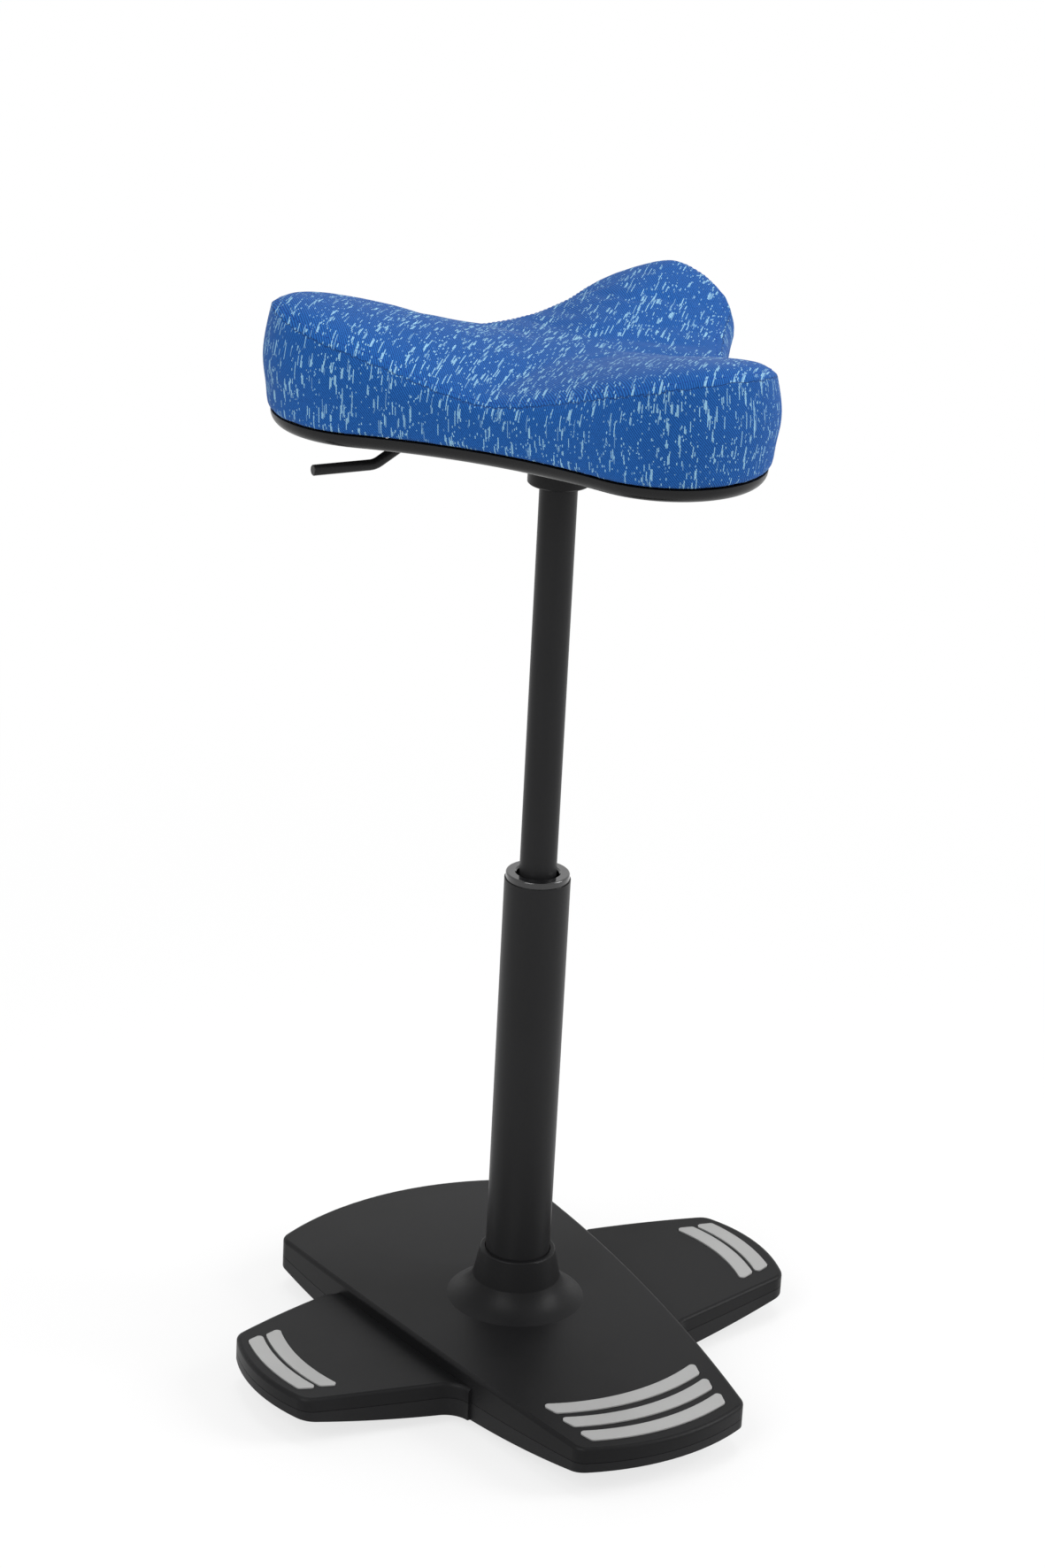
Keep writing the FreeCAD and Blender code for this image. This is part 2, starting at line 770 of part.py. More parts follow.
def make_base_core():
    """The rubber sole, the ballast, the hub that holds the column, and their fasteners."""
    gap = size("seat_gap")
    lift = size("sole_thickness") - size("sole_recess")
    keep(turned("sole", [
        (size("sole_inner") + gap, -lift), (size("sole_outer") - gap, -lift),
        (size("sole_outer") - gap, size("sole_recess")),
        (size("sole_inner") + gap, size("sole_recess")),
    ]), "rubber_sole")
    ballast_bottom = wall
    ballast_top = ballast_bottom + size("ballast_thickness")
    keep(turned("ballast", [
        (0, 0), (size("ballast_radius"), 0),
        (size("ballast_radius"), size("ballast_thickness") - 1),
        (size("ballast_radius") - 1, size("ballast_thickness")),
        (0, size("ballast_thickness")),
    ], ballast_bottom), "ballast_plate")
    bore = size("column_radius") + size("press_gap")
    flange = size("hub_flange_thickness")
    hub = turned("hub", [
        (size("hub_ledge"), 0), (size("hub_flange_radius"), 0), (size("hub_flange_radius"), flange),
        (size("hub_radius"), flange), (size("hub_radius"), size("hub_top") - ballast_top),
        (bore, size("hub_top") - ballast_top), (bore, flange), (size("hub_ledge"), flange),
    ], ballast_top)
    keep(hub, "column_hub")
    circle = size("hub_bolt_circle")
    places = [(circle, 0), (0, circle), (-circle, 0), (0, -circle)]
    heads = [cylinder(f"hub_bolt_{number}", size("hub_bolt_head_radius"),
                      size("hub_bolt_head_height"), x, y, ballast_top + flange)
             for number, (x, y) in enumerate(places)]
    bolts = doc.addObject("Part::Compound", "hub_bolt_group")
    bolts.Links = heads
    keep(bolts, "hub_bolts")
    screws = []
    for number, (x, y) in enumerate(boss_places()):
        head = cylinder(f"screw_head_{number}", size("screw_head_radius"),
                        size("screw_head_height"), x, y,
                        screw_seat() - size("screw_head_height"))
        shank = cylinder(f"screw_shank_{number}", size("screw_radius"), size("screw_length"),
                         x, y, screw_seat())
        screws.append(combined("MultiFuse", f"screw_{number}", [head, shank]))
    group = doc.addObject("Part::Compound", "screw_group")
    group.Links = screws
    keep(group, "cover_screws")


make_base_cover()
make_grips()
make_under_shell()
make_base_core()

# Column
hub_ledge_top = wall + size("ballast_thickness") + size("hub_flange_thickness")
column_bottom = hub_ledge_top
column_top = size("column_top")
column_inner = size("column_radius") - size("column_wall")
liner_radius = column_inner - size("press_gap")
rod_hole = size("rod_radius") + size("slide_gap")
lift_radius = size("lift_radius")
lift_bottom = column_top - size("lift_overlap")
lift_top = size("shroud_bottom") + size("lift_taper_length")


def make_outer_column():
    length = column_top - column_bottom
    keep(turned("column", [
        (rod_hole, 0), (size("column_radius") - 1, 0), (size("column_radius"), 1),
        (size("column_radius"), length), (column_inner, length),
        (column_inner, size("column_floor")), (rod_hole, size("column_floor")),
    ], column_bottom), "outer_column")
    ring = size("ring_radius")
    spigot = size("ring_spigot")
    height = size("ring_height")
    keep(turned("ring", [
        (size("ring_bore"), -spigot), (liner_radius, -spigot), (liner_radius, 0), (ring, 0),
        (ring, height - size("ring_round")), (ring - size("ring_round"), height),
        (size("ring_bore") + size("ring_round"), height),
        (size("ring_bore"), height - size("ring_round")),
    ], column_top, arcs={4: size("ring_round")}), "guide_ring")
    sleeve = size("sleeve_length")
    relief = size("sleeve_relief")
    bore = lift_radius + size("slide_gap")
    keep(turned("sleeve", [
        (bore, 0), (liner_radius, 0), (liner_radius, sleeve), (bore, sleeve),
        (bore, sleeve * 0.75), (bore + relief, sleeve * 0.7), (bore + relief, sleeve * 0.3),
        (bore, sleeve * 0.25),
    ], column_top - spigot - sleeve), "guide_sleeve")


def make_rod():
    """The piston rod and what turns with it on the thrust bearing."""
    clip = size("clip_thickness")
    clip_top = column_bottom - 0.1
    rod_bottom = clip_top - clip - size("rod_tail") / 2
    floor_top = column_bottom + size("column_floor")
    race = size("race_thickness")
    balls = size("ball_radius") * 2
    upper_race = floor_top + race + balls + 0.04
    buffer_bottom = upper_race + race
    piston_bottom = lift_bottom + size("end_plug_length") + 3
    piston_top = piston_bottom + size("piston_length")
    rod = size("rod_radius")
    groove = rod - size("rod_groove")
    groove_low = clip_top - clip - 0.05
    groove_high = clip_top + 0.05
    keep(turned("rod", [
        (0, rod_bottom), (rod - 0.6, rod_bottom), (rod, rod_bottom + 0.6), (rod, groove_low),
        (groove, groove_low), (groove, groove_high), (rod, groove_high), (rod, piston_top - 1),
        (rod - 1, piston_top), (0, piston_top),
    ]), "piston_rod")
    rod_bore = rod + 0.02
    keep(turned("piston", [
        (rod_bore, 0), (lift_radius - size("lift_wall") - size("slide_gap"), 0),
        (lift_radius - size("lift_wall") - size("slide_gap"), size("piston_length") - 2),
        (rod_bore, size("piston_length") - 2),
    ], piston_bottom), "piston")
    keep(turned("rod_buffer", [
        (rod_bore, 0), (size("buffer_radius"), 0),
        (size("buffer_radius"), size("buffer_length") - 3),
        (size("buffer_radius") - 3, size("buffer_length")), (rod_bore, size("buffer_length")),
    ], buffer_bottom, arcs={2: Size(3)}), "rod_buffer")
    clip_body = turned("clip", [
        (groove + 0.02, 0), (size("clip_radius"), 0), (size("clip_radius"), clip),
        (groove + 0.02, clip)], clip_top - clip)
    slot_half = groove * 0.6
    pocketed(clip_body, "clip_mouth",
             lambda sketch: draw_outline(sketch, box_corners(
                 0, size("clip_radius") + 2, -slot_half, slot_half)), clip + 2, Size(-1))
    keep(clip_body, "rod_clip")
    for label, height in (("lower_race", floor_top), ("upper_race", upper_race)):
        keep(turned(f"{label}_ring", [
            (rod + 0.3, 0), (size("race_radius"), 0), (size("race_radius"), race),
            (rod + 0.3, race)], height), label)
    spheres = []
    ball_count = 8
    for number in range(ball_count):
        angle = 2 * math.pi * number / ball_count
        ball = doc.addObject("Part::Sphere", f"ball_{number}")
        bind(ball, "Radius", size("ball_radius"))
        bind(ball, "Placement.Base.x", size("ball_circle") * math.cos(angle))
        bind(ball, "Placement.Base.y", size("ball_circle") * math.sin(angle))
        bind(ball, "Placement.Base.z", floor_top + race + size("ball_radius") + 0.02)
        spheres.append(ball)
    group = doc.addObject("Part::Compound", "ball_group")
    group.Links = spheres
    keep(group, "bearing_balls")


def make_gas_cylinder():
    """The sliding cylinder with its tapered head, its end plug, valve body and valve pin."""
    inner = lift_radius - size("lift_wall")
    tip = lift_radius - size("lift_taper_drop")
    shoulder = size("shroud_bottom")
    pin_hole = size("valve_pin_radius") + size("slide_gap")
    keep(turned("lift", [
        (inner, lift_bottom), (lift_radius, lift_bottom), (lift_radius, shoulder),
        (tip, lift_top), (pin_hole, lift_top), (pin_hole, lift_top - size("lift_cap")),
        (inner, lift_top - size("lift_cap")),
    ]), "gas_cylinder")
    snug = inner - size("press_gap")
    keep(turned("end_plug", [
        (rod_hole, 0), (snug, 0), (snug, size("end_plug_length")),
        (rod_hole, size("end_plug_length")),
    ], lift_bottom + 1), "cylinder_end_plug")
    valve_top = lift_top - size("lift_cap")
    keep(turned("valve", [
        (pin_hole, 0), (snug, 0), (snug, size("valve_body_length")),
        (pin_hole, size("valve_body_length")),
    ], valve_top - size("valve_body_length")), "valve_body")
    pin_top = lift_top + size("valve_pin_proud")
    pin = size("valve_pin_radius")
    length = size("valve_pin_length")
    keep(turned("pin", [
        (0, 0), (pin, 0), (pin, length - 1), (pin - 1, length), (0, length),
    ], pin_top - length, arcs={2: Size(1)}), "valve_pin")


make_outer_column()
make_rod()
make_gas_cylinder()

# Seat mechanism
board_bottom = size("pan_rim")
plate_top = board_bottom
plate_bottom = plate_top - size("plate_thickness")
pan_bottom = size("pan_rim") - size("pan_depth")
lever_turn = size("lever_turn")


def taper_at(height):
    """Radius of the cylinder's tapered head at that height."""
    drop = size("lift_taper_drop") / size("lift_taper_length")
    return lift_radius - drop * (height - size("shroud_bottom"))


def make_socket():
    wall_out = size("socket_wall")
    low = size("shroud_bottom") + size("socket_rise")
    play = 0.05
    keep(turned("socket", [
        (taper_at(low) + play, low), (taper_at(low) + wall_out, low),
        (taper_at(low) + wall_out, plate_bottom - 3), (taper_at(low) + wall_out + 3, plate_bottom),
        (taper_at(plate_bottom) + play, plate_bottom),
    ]), "taper_socket")
    outer = size("shroud_radius")
    shroud_wall = size("shroud_wall")
    bottom = size("shroud_bottom")
    flare_z = pan_bottom - 12
    keep(turned("shroud", [
        (lift_radius + 0.3, bottom), (outer - 1, bottom), (outer, bottom + 1),
        (outer, flare_z), (outer + size("shroud_flare"), pan_bottom),
        (outer + size("shroud_flare") - shroud_wall, pan_bottom),
        (outer - shroud_wall, flare_z), (outer - shroud_wall, bottom + shroud_wall),
        (lift_radius + 0.3, bottom + shroud_wall),
    ]), "socket_shroud")


def make_mounting_plate():
    half = size("plate_half")
    body = new_body("plate", plate_bottom, lever_turn)
    pad = padded(body, "plate_pad", box_corners(-half, half, -half, half), size("plate_thickness"))
    round_corners(body, pad, "plate", size("plate_corner"))
    near = size("lever_radius") + size("ear_gap")
    for side, name in ((1, "ear_left"), (-1, "ear_right")):
        low, high = near, near + size("ear_thickness")
        if side < 0:
            low, high = -high, -low
        padded(body, name, box_corners(size("pivot_reach") - size("ear_reach"),
                                       size("pivot_reach") + size("ear_reach"), low, high),
               size("ear_height"), offset=size("plate_thickness"))

    def holes(sketch):
        draw_circle(sketch, 0, 0, taper_at(plate_bottom) + 0.3)
        bolt = size("plate_bolt_half")
        for x, y in ((bolt, bolt), (-bolt, bolt), (-bolt, -bolt), (bolt, -bolt)):
            draw_circle(sketch, x, y, size("plate_bolt_radius") + 0.2)

    pocketed(body, "plate_holes", holes, size("plate_thickness") + 2, Size(-1))
    pocketed(body, "lever_dip", lambda sketch: draw_outline(sketch, box_corners(
        -(size("lever_inner") + 1.5), size("pivot_reach") - 3, -near, near)),
        size("plate_thickness") + 2, Size(-1))
    sketch = new_sketch(body, "pivot_outline", "XZ_Plane")
    draw_circle(sketch, size("pivot_reach"), size("plate_thickness") + size("lever_rise"),
                size("pivot_radius") + 0.05)
    hole = body.newObject("PartDesign::Pocket", "pivot_hole")
    hole.Profile = (sketch, [""])
    hole.Length = 40
    hole.Midplane = True
    keep(body, "mounting_plate")
    length = (near + size("ear_thickness") + 1.5) * 2
    pin = cylinder("pivot", size("pivot_radius"), length)
    direction = FreeCAD.Rotation(Z_AXIS, lever_turn.number)
    across = direction.multVec(Vector(0, 1, 0))
    middle = direction.multVec(Vector(size("pivot_reach").number, 0, 0))
    middle.z = (plate_top + size("lever_rise")).number
    pin.setExpression("Placement.Base.x", None)
    pin.setExpression("Placement.Base.y", None)
    pin.setExpression("Placement.Base.z", None)
    pin.Placement = FreeCAD.Placement(middle - across * (length.number / 2),
                                      FreeCAD.Rotation(Z_AXIS, across))
    keep(pin, "lever_pivot_pin")


def bolt_places():
    bolt = size("plate_bolt_half").number
    direction = FreeCAD.Rotation(Z_AXIS, lever_turn.number)
    corners = ((bolt, bolt), (-bolt, bolt), (-bolt, -bolt), (bolt, -bolt))
    return [direction.multVec(Vector(x, y, 0)) for x, y in corners]


def make_plate_fasteners():
    bolts, nuts = [], []
    head_height = size("plate_bolt_head_height")
    for number, place in enumerate(bolt_places()):
        head = cylinder(f"bolt_head_{number}", size("plate_bolt_head_radius"), head_height,
                        place.x, place.y, plate_bottom - head_height)
        shank = cylinder(f"bolt_shank_{number}", size("plate_bolt_radius"),
                         size("plate_thickness") + size("nut_height"), place.x, place.y,
                         plate_bottom)
        bolts.append(combined("MultiFuse", f"plate_bolt_{number}", [head, shank]))
        outer = cylinder(f"nut_outer_{number}", size("nut_radius"), size("nut_height"),
                         place.x, place.y, board_bottom)
        inner = cylinder(f"nut_inner_{number}", size("plate_bolt_radius") + 0.1,
                         size("nut_height"), place.x, place.y, board_bottom)
        nuts.append(cut(f"nut_{number}", outer, inner))
    for label, pieces in (("plate_bolts", bolts), ("board_nuts", nuts)):
        group = doc.addObject("Part::Compound", f"{label}_group")
        group.Links = pieces
        keep(group, label)


def rounded_path(points, radius):
    """A wire of straight runs joined by tangent arcs of one radius."""
    edges = []
    start = points[0]
    for before, corner, after in zip(points, points[1:], points[2:]):
        back = (before - corner).normalize()
        ahead = (after - corner).normalize()
        half_turn = back.getAngle(ahead) / 2
        setback = radius / math.tan(half_turn)
        inward = (back + ahead).normalize()
        middle = corner + inward * (radius / math.sin(half_turn) - radius)
        edges.append(Part.LineSegment(start, corner + back * setback).toShape())
        edges.append(Part.Arc(corner + back * setback, middle, corner + ahead * setback).toShape())
        start = corner + ahead * setback
    edges.append(Part.LineSegment(start, points[-1]).toShape())
    return Part.Wire(edges)


def make_lever():
    high = (plate_top + size("lever_rise")).number
    low = size("lever_height").number
    points = [Vector(-size("lever_inner").number, 0, high),
              Vector(size("lever_knee").number, 0, high),
              Vector(size("lever_bend").number, 0, low),
              Vector(size("lever_end").number, 0, low)]
    path = rounded_path(points, size("lever_bend_radius").number)
    radius = size("lever_radius").number
    section = Part.Wire(Part.Circle(points[0], Vector(1, 0, 0), radius).toShape())
    rod = path.makePipeShell([section], True, False)
    ends = [number for number in range(1, len(rod.Edges) + 1)
            if rod.Edges[number - 1].Closed
            and (abs(rod.Edges[number - 1].CenterOfMass.x - points[0].x) < 0.01
                 or abs(rod.Edges[number - 1].CenterOfMass.x - points[-1].x) < 0.01)]
    rod = rod.makeChamfer(0.5, [rod.Edges[number - 1] for number in ends])
    pin = Part.makeCylinder(size("pivot_radius").number + 0.06, radius * 4,
                            Vector(size("pivot_reach").number, -radius * 2, high),
                            Vector(0, 1, 0))
    lever = doc.addObject("Part::Feature", "lever")
    lever.Shape = rod.cut(pin)
    lever.Placement = FreeCAD.Placement(Vector(), FreeCAD.Rotation(Z_AXIS, lever_turn.number))
    keep(lever, "release_lever")


make_socket()
make_mounting_plate()
make_plate_fasteners()
make_lever()


class SeatPlan:
    """The seat's outline from above: three round lobes joined by hollow waists.

    One lobe lies on the seat's own +X axis and the other two lie either side of it, behind.
    """

    def __init__(self, inset):
        side_x, side_y = size("side_lobe_x").number, size("side_lobe_y").number
        side_radius = size("side_lobe_radius").number - inset
        self.lobes = [
            (Vector(size("end_lobe_x").number, 0, 0), size("end_lobe_radius").number - inset),
            (Vector(side_x, side_y, 0), side_radius),
            (Vector(side_x, -side_y, 0), side_radius),
        ]
        end_arc = size("end_waist_arc").number + inset
        side_arc = size("side_waist_arc").number + inset
        self.waists = [self._waist(0, 1, end_arc), self._waist(1, 2, side_arc),
                       self._waist(2, 0, end_arc)]

    def _waist(self, first, second, radius):
        """Centre and radius of the arc that touches both lobes from outside the seat."""
        (start, start_radius), (end, end_radius) = self.lobes[first], self.lobes[second]
        chord = end - start
        length = chord.Length
        near, far = start_radius + radius, end_radius + radius
        along = (near ** 2 - far ** 2 + length ** 2) / (2 * length)
        across = math.sqrt(near ** 2 - along ** 2)
        way = Vector(chord).normalize()
        outward = Vector(way.y, -way.x, 0)
        return start + way * along + outward * across, radius

    def touch(self, lobe, waist):
        centre, radius = self.lobes[lobe]
        return centre + (self.waists[waist][0] - centre).normalize() * radius

    def on_lobe(self, lobe, share):
        """A point of the lobe's arc, from its start at share 0 to its end at share 1."""
        centre, radius = self.lobes[lobe]
        first = self.touch(lobe, (lobe - 1) % 3) - centre
        last = self.touch(lobe, lobe) - centre
        sweep = (math.atan2(last.y, last.x) - math.atan2(first.y, first.x)) % (2 * math.pi)
        turn = FreeCAD.Rotation(Z_AXIS, math.degrees(sweep * share))
        return centre + turn.multVec(first)

    def tip(self, lobe):
        centre, radius = self.lobes[lobe]
        return centre + Vector(centre).normalize() * radius

    def on_waist(self, waist, share):
        """A point of the waist's hollow arc, from one lobe's end to the next one's start."""
        centre, radius = self.waists[waist]
        first = self.touch(waist, waist) - centre
        last = self.touch((waist + 1) % 3, waist) - centre
        sweep = math.degrees(first.getAngle(last))
        return centre + FreeCAD.Rotation(Z_AXIS, -sweep * share).multVec(first)

    def hollow(self, waist):
        return self.on_waist(waist, 0.5)

    def stations(self):
        """The points that the outline's arcs pass, eight for each lobe and its waist."""
        points = []
        for lobe in range(3):
            points += [self.on_lobe(lobe, step / 4) for step in range(4)]
            points += [self.on_waist(lobe, step / 4) for step in range(4)]
        return points

    def sketch(self, sketch, inset_text):
        """Draws the outline with tangent arcs whose centres and radii are bound to the sheet."""
        arcs = []
        for lobe in range(3):
            centre, radius = self.lobes[lobe]
            first = self.touch(lobe, (lobe - 1) % 3)
            last = self.touch(lobe, lobe)
            arcs.append(sketch.addGeometry(three_point(first, self.tip(lobe), last), False))
            following = self.touch((lobe + 1) % 3, lobe)
            arcs.append(sketch.addGeometry(three_point(last, self.hollow(lobe), following), False))
        for index in range(6):
            after = (index + 1) % 6
            ends = (2, 2) if index % 2 == 0 else (1, 1)
            sketch.addConstraint(Sketcher.Constraint("Tangent", arcs[index], ends[0],
                                                     arcs[after], ends[1]))
        centres = [("Sizes.end_lobe_x", "0"), ("Sizes.side_lobe_x", "Sizes.side_lobe_y"),
                   ("Sizes.side_lobe_x", "-Sizes.side_lobe_y")]
        radii = ["Sizes.end_lobe_radius", "Sizes.side_lobe_radius", "Sizes.side_lobe_radius"]
        hollows = ["Sizes.end_waist_arc", "Sizes.side_waist_arc", "Sizes.end_waist_arc"]
        for lobe in range(3):
            centre, radius = self.lobes[lobe]
            for kind, number, text in (("DistanceX", centre.x, centres[lobe][0]),
                                       ("DistanceY", centre.y, centres[lobe][1])):
                limit = Sketcher.Constraint(kind, -1, 1, arcs[lobe * 2], 3, number)
                sketch.setExpression(f"Constraints[{sketch.addConstraint(limit)}]", text)
            limit = Sketcher.Constraint("Radius", arcs[lobe * 2], radius)
            place = sketch.addConstraint(limit)
            sketch.setExpression(f"Constraints[{place}]", f"{radii[lobe]} - {inset_text}")
            limit = Sketcher.Constraint("Radius", arcs[lobe * 2 + 1], self.waists[lobe][1])
            place = sketch.addConstraint(limit)
            sketch.setExpression(f"Constraints[{place}]", f"{hollows[lobe]} + {inset_text}")


def three_point(first, middle, last):
    return Part.Arc(first, middle, last)


def seat_block(body, name, inset, length):
    sketch = new_sketch(body, f"{name}_outline", "XY_Plane")
    SeatPlan(inset.number).sketch(sketch, inset.text)
    feature = body.newObject("PartDesign::Pad", name)
    feature.Profile = (sketch, [""])
    bind(feature, "Length", length)
    return feature


seat_turn = size("seat_turn")


def lever_slot_corners(inner, outer, half_width):
    """The lever's slot seen in the seat's own frame, which is turned against the lever's."""
    turn = FreeCAD.Rotation(Z_AXIS, lever_turn.number - seat_turn.number)
    corners = []
    for x, y in ((inner, -half_width), (outer, -half_width), (outer, half_width),
                 (inner, half_width)):
        corner = turn.multVec(Vector(x, y, 0))
        corners.append((corner.x, corner.y))
    return corners


def pan_screw_places():
    """One screw in each lobe of the pan, in the seat's own frame."""
    return [centre * size("pan_screw_side").number for centre, radius in SeatPlan(0).lobes]


def pan_block(name, inset, bottom, height, edge_round):
    body = new_body(name, bottom, seat_turn)
    block = seat_block(body, f"{name}_block", inset, height)
    body_fillet(body, block, f"{name}_edge", edge_round, lambda point: abs(point.z) < 0.01)
    return body


def make_pan():
    inset = size("pan_inset")
    depth = size("pan_depth")
    pan_wall = size("pan_wall")
    outer = pan_block("pan_outer", inset, pan_bottom, depth, size("pan_round"))
    room = pan_block("pan_room", inset + pan_wall, pan_bottom + pan_wall, depth,
                     size("pan_round") - pan_wall)
    turn = FreeCAD.Rotation(Z_AXIS, seat_turn.number)
    low = pan_bottom - 1
    holes = [cylinder("pan_centre_hole", size("pan_hole"), depth, 0, 0, low)]
    for number, place in enumerate(pan_screw_places()):
        spot = turn.multVec(place)
        holes.append(cylinder(f"pan_screw_hole_{number}", size("screw_radius") + 0.2, depth,
                              spot.x, spot.y, low))
    slot = new_body("pan_slot", low, lever_turn)
    padded(slot, "pan_slot_block", box_corners(
        size("lever_slot_inner"), size("lever_slot_outer"), -size("lever_slot_half_width"),
        size("lever_slot_half_width")), depth)
    keep(cut("pan_shape", outer, combined("MultiFuse", "pan_removed", [room, slot] + holes)),
         "seat_pan")
    screws = []
    turn = FreeCAD.Rotation(Z_AXIS, seat_turn.number)
    for number, place in enumerate(pan_screw_places()):
        spot = turn.multVec(place)
        head = cylinder(f"pan_screw_head_{number}", size("screw_head_radius"),
                        size("screw_head_height"), spot.x, spot.y,
                        pan_bottom - size("screw_head_height"))
        shank = cylinder(f"pan_screw_shank_{number}", size("screw_radius"),
                         depth + 8, spot.x, spot.y, pan_bottom)
        screws.append(combined("MultiFuse", f"pan_screw_{number}", [head, shank]))
    group = doc.addObject("Part::Compound", "pan_screw_group")
    group.Links = screws
    keep(group, "pan_screws")


def make_board():
    inset = size("board_inset")
    body = new_body("board", board_bottom, seat_turn)
    seat_block(body, "board_block", inset, size("board_thickness"))
    half = size("board_channel_half")
    pocketed(body, "board_channel", lambda sketch: draw_outline(sketch, lever_slot_corners(
        -half.number, size("lever_slot_outer").number, half.number)),
        size("board_thickness") + 2, Size(-1))

    def holes(sketch):
        turn = FreeCAD.Rotation(Z_AXIS, -seat_turn.number)
        for place in bolt_places():
            spot = turn.multVec(place)
            draw_circle(sketch, spot.x, spot.y, size("nut_radius") + 0.1)
        for place in pan_screw_places():
            draw_circle(sketch, place.x, place.y, size("screw_radius") + 0.1)

    pocketed(body, "board_holes", holes, size("board_thickness") + 2, Size(-1))
    keep(body, "seat_board")


STATIONS = 24


cushion_bottom = board_bottom + size("seat_gap")


def seam_heights(plan):
    """Height of the stitched seam at the outline's stations, high at the lobes and low along
    the waists, and how much of a lobe each station is."""
    lobe_top = [size("cushion_seam_end_lobe").number] + [size("cushion_seam_side_lobe").number] * 2
    waist_top = [size("cushion_seam_end_waist").number, size("cushion_seam_side_waist").number,
                 size("cushion_seam_end_waist").number]
    peaks = [size("cushion_end_lobe_peak").number] + [size("cushion_side_lobe_peak").number] * 2
    heights, shares = [], []
    for number, point in enumerate(plan.stations()):
        lobe, step = number // 8, number % 8
        waist = lobe if step > 2 else (lobe - 1) % 3
        nearest = lobe if step < 7 else (lobe + 1) % 3
        if step in (5, 7):
            nearest = (lobe + 1) % 3 if step == 7 else lobe
        tip = plan.tip(nearest)
        way = min(1.0, tip.getAngle(point) / tip.getAngle(plan.hollow(waist)))
        ease = way * way * (3 - 2 * way)
        share = (1 - ease) ** peaks[nearest]
        rise = waist_top[waist] + (lobe_top[nearest] - waist_top[waist]) * share
        heights.append(cushion_bottom.number + rise)
        shares.append(share)
    return heights, shares


def ring(points, heights):
    """A closed wire of arcs through the stations, each at its own height."""
    lifted = [Vector(point.x, point.y, height) for point, height in zip(points, heights)]
    edges = []
    for start in range(0, STATIONS, 2):
        first, middle, last = (lifted[(start + step) % STATIONS] for step in range(3))
        edges.append(Part.Arc(first, middle, last).toShape())
    return Part.Wire(edges)


CROWN_STEPS = (0.985, 0.95, 0.89, 0.80, 0.68, 0.54, 0.40, 0.26, 0.12)
BOTTOM_ROUND_STEPS = (0, 30, 60, 90)


def make_cushion():
    plan = SeatPlan(0)
    seam, lobe_share = seam_heights(plan)
    bottom = cushion_bottom.number
    middle_height = bottom + size("cushion_middle").number
    drop = size("cushion_bottom_round").number
    inset = size("cushion_inset").number
    sides = []
    for angle in BOTTOM_ROUND_STEPS:
        turn = math.radians(angle)
        plan_here = SeatPlan(inset * (1 - math.sin(turn)))
        height = bottom + drop * (1 - math.cos(turn))
        sides.append(ring(plan_here.stations(), [height] * STATIONS))
    tuck = size("cushion_seam_tuck").number
    upper = [bottom + drop + (top - bottom - drop) * 0.8 for top in seam]
    sides.append(ring(SeatPlan(0).stations(), upper))
    tucked = SeatPlan(tuck).stations()
    sides.append(ring(tucked, seam))
    edge_rise = size("cushion_edge_crown").number
    lobe_rise = size("cushion_crown").number
    tops = [ring(tucked, seam)]
    for scale in CROWN_STEPS:
        inward = 1 - scale
        ease = 3 * inward ** 2 - 2 * inward ** 3
        fullness = 1 - math.exp(-inward / 0.1)
        heights = []
        for height, share in zip(seam, lobe_share):
            rise = (edge_rise + lobe_rise * share) * fullness
            heights.append((height + rise) * (1 - ease) + middle_height * ease)
        if scale == CROWN_STEPS[-1]:
            heights = [middle_height] * STATIONS
        tops.append(ring([point * scale for point in tucked], heights))
    side_skin = Part.makeLoft(sides, False, False)
    top_skin = Part.makeLoft(tops, False, False)
    faces = side_skin.Faces + top_skin.Faces + [Part.Face(sides[0]), Part.Face(tops[-1])]
    shell = Part.makeShell(faces)
    shell.sewShape()
    form = Part.makeSolid(shell)
    if form.Volume < 0:
        form.reverse()
    room_inset = size("board_inset").number - size("seat_gap").number
    room_wire = ring(SeatPlan(room_inset).stations(), [bottom - 1] * STATIONS)
    room = Part.Face(room_wire).extrude(
        Vector(0, 0, (size("board_thickness") + size("seat_gap")).number + 1))
    cushion = doc.addObject("Part::Feature", "cushion")
    cushion.Shape = form.cut(room)
    cushion.Placement = FreeCAD.Placement(Vector(), FreeCAD.Rotation(Z_AXIS, seat_turn.number))
    keep(cushion, "seat_cushion")


make_pan()
make_board()
make_cushion()

doc.recompute()
failed = [f"{thing.Label} {thing.State}" for thing in doc.Objects
          if "Invalid" in thing.State or "Error" in thing.State]
if failed:
    raise RuntimeError(f"these failed: {failed}")
for part in sub_parts:
    shape = part.Shape
    if shape.isNull() or not shape.isValid() or shape.Volume <= 0:
        raise RuntimeError(f"{part.Label} has no sound shape")

os.makedirs("parts", exist_ok=True)
for part in sub_parts:
    part.Shape.exportStep(f"parts/{part.Label}.step")
    print(f"{part.Label}: {part.Shape.Volume / 1000:.1f} cm3, {len(part.Shape.Solids)} solids")
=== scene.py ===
"""The wobble stool, dressed: a rocking foot base, a gas column and a saddle cushion."""

import json
import logging
import math
from dataclasses import dataclass, field
from enum import Enum

import bpy
from mathutils import Matrix, Vector
from mathutils.kdtree import KDTree

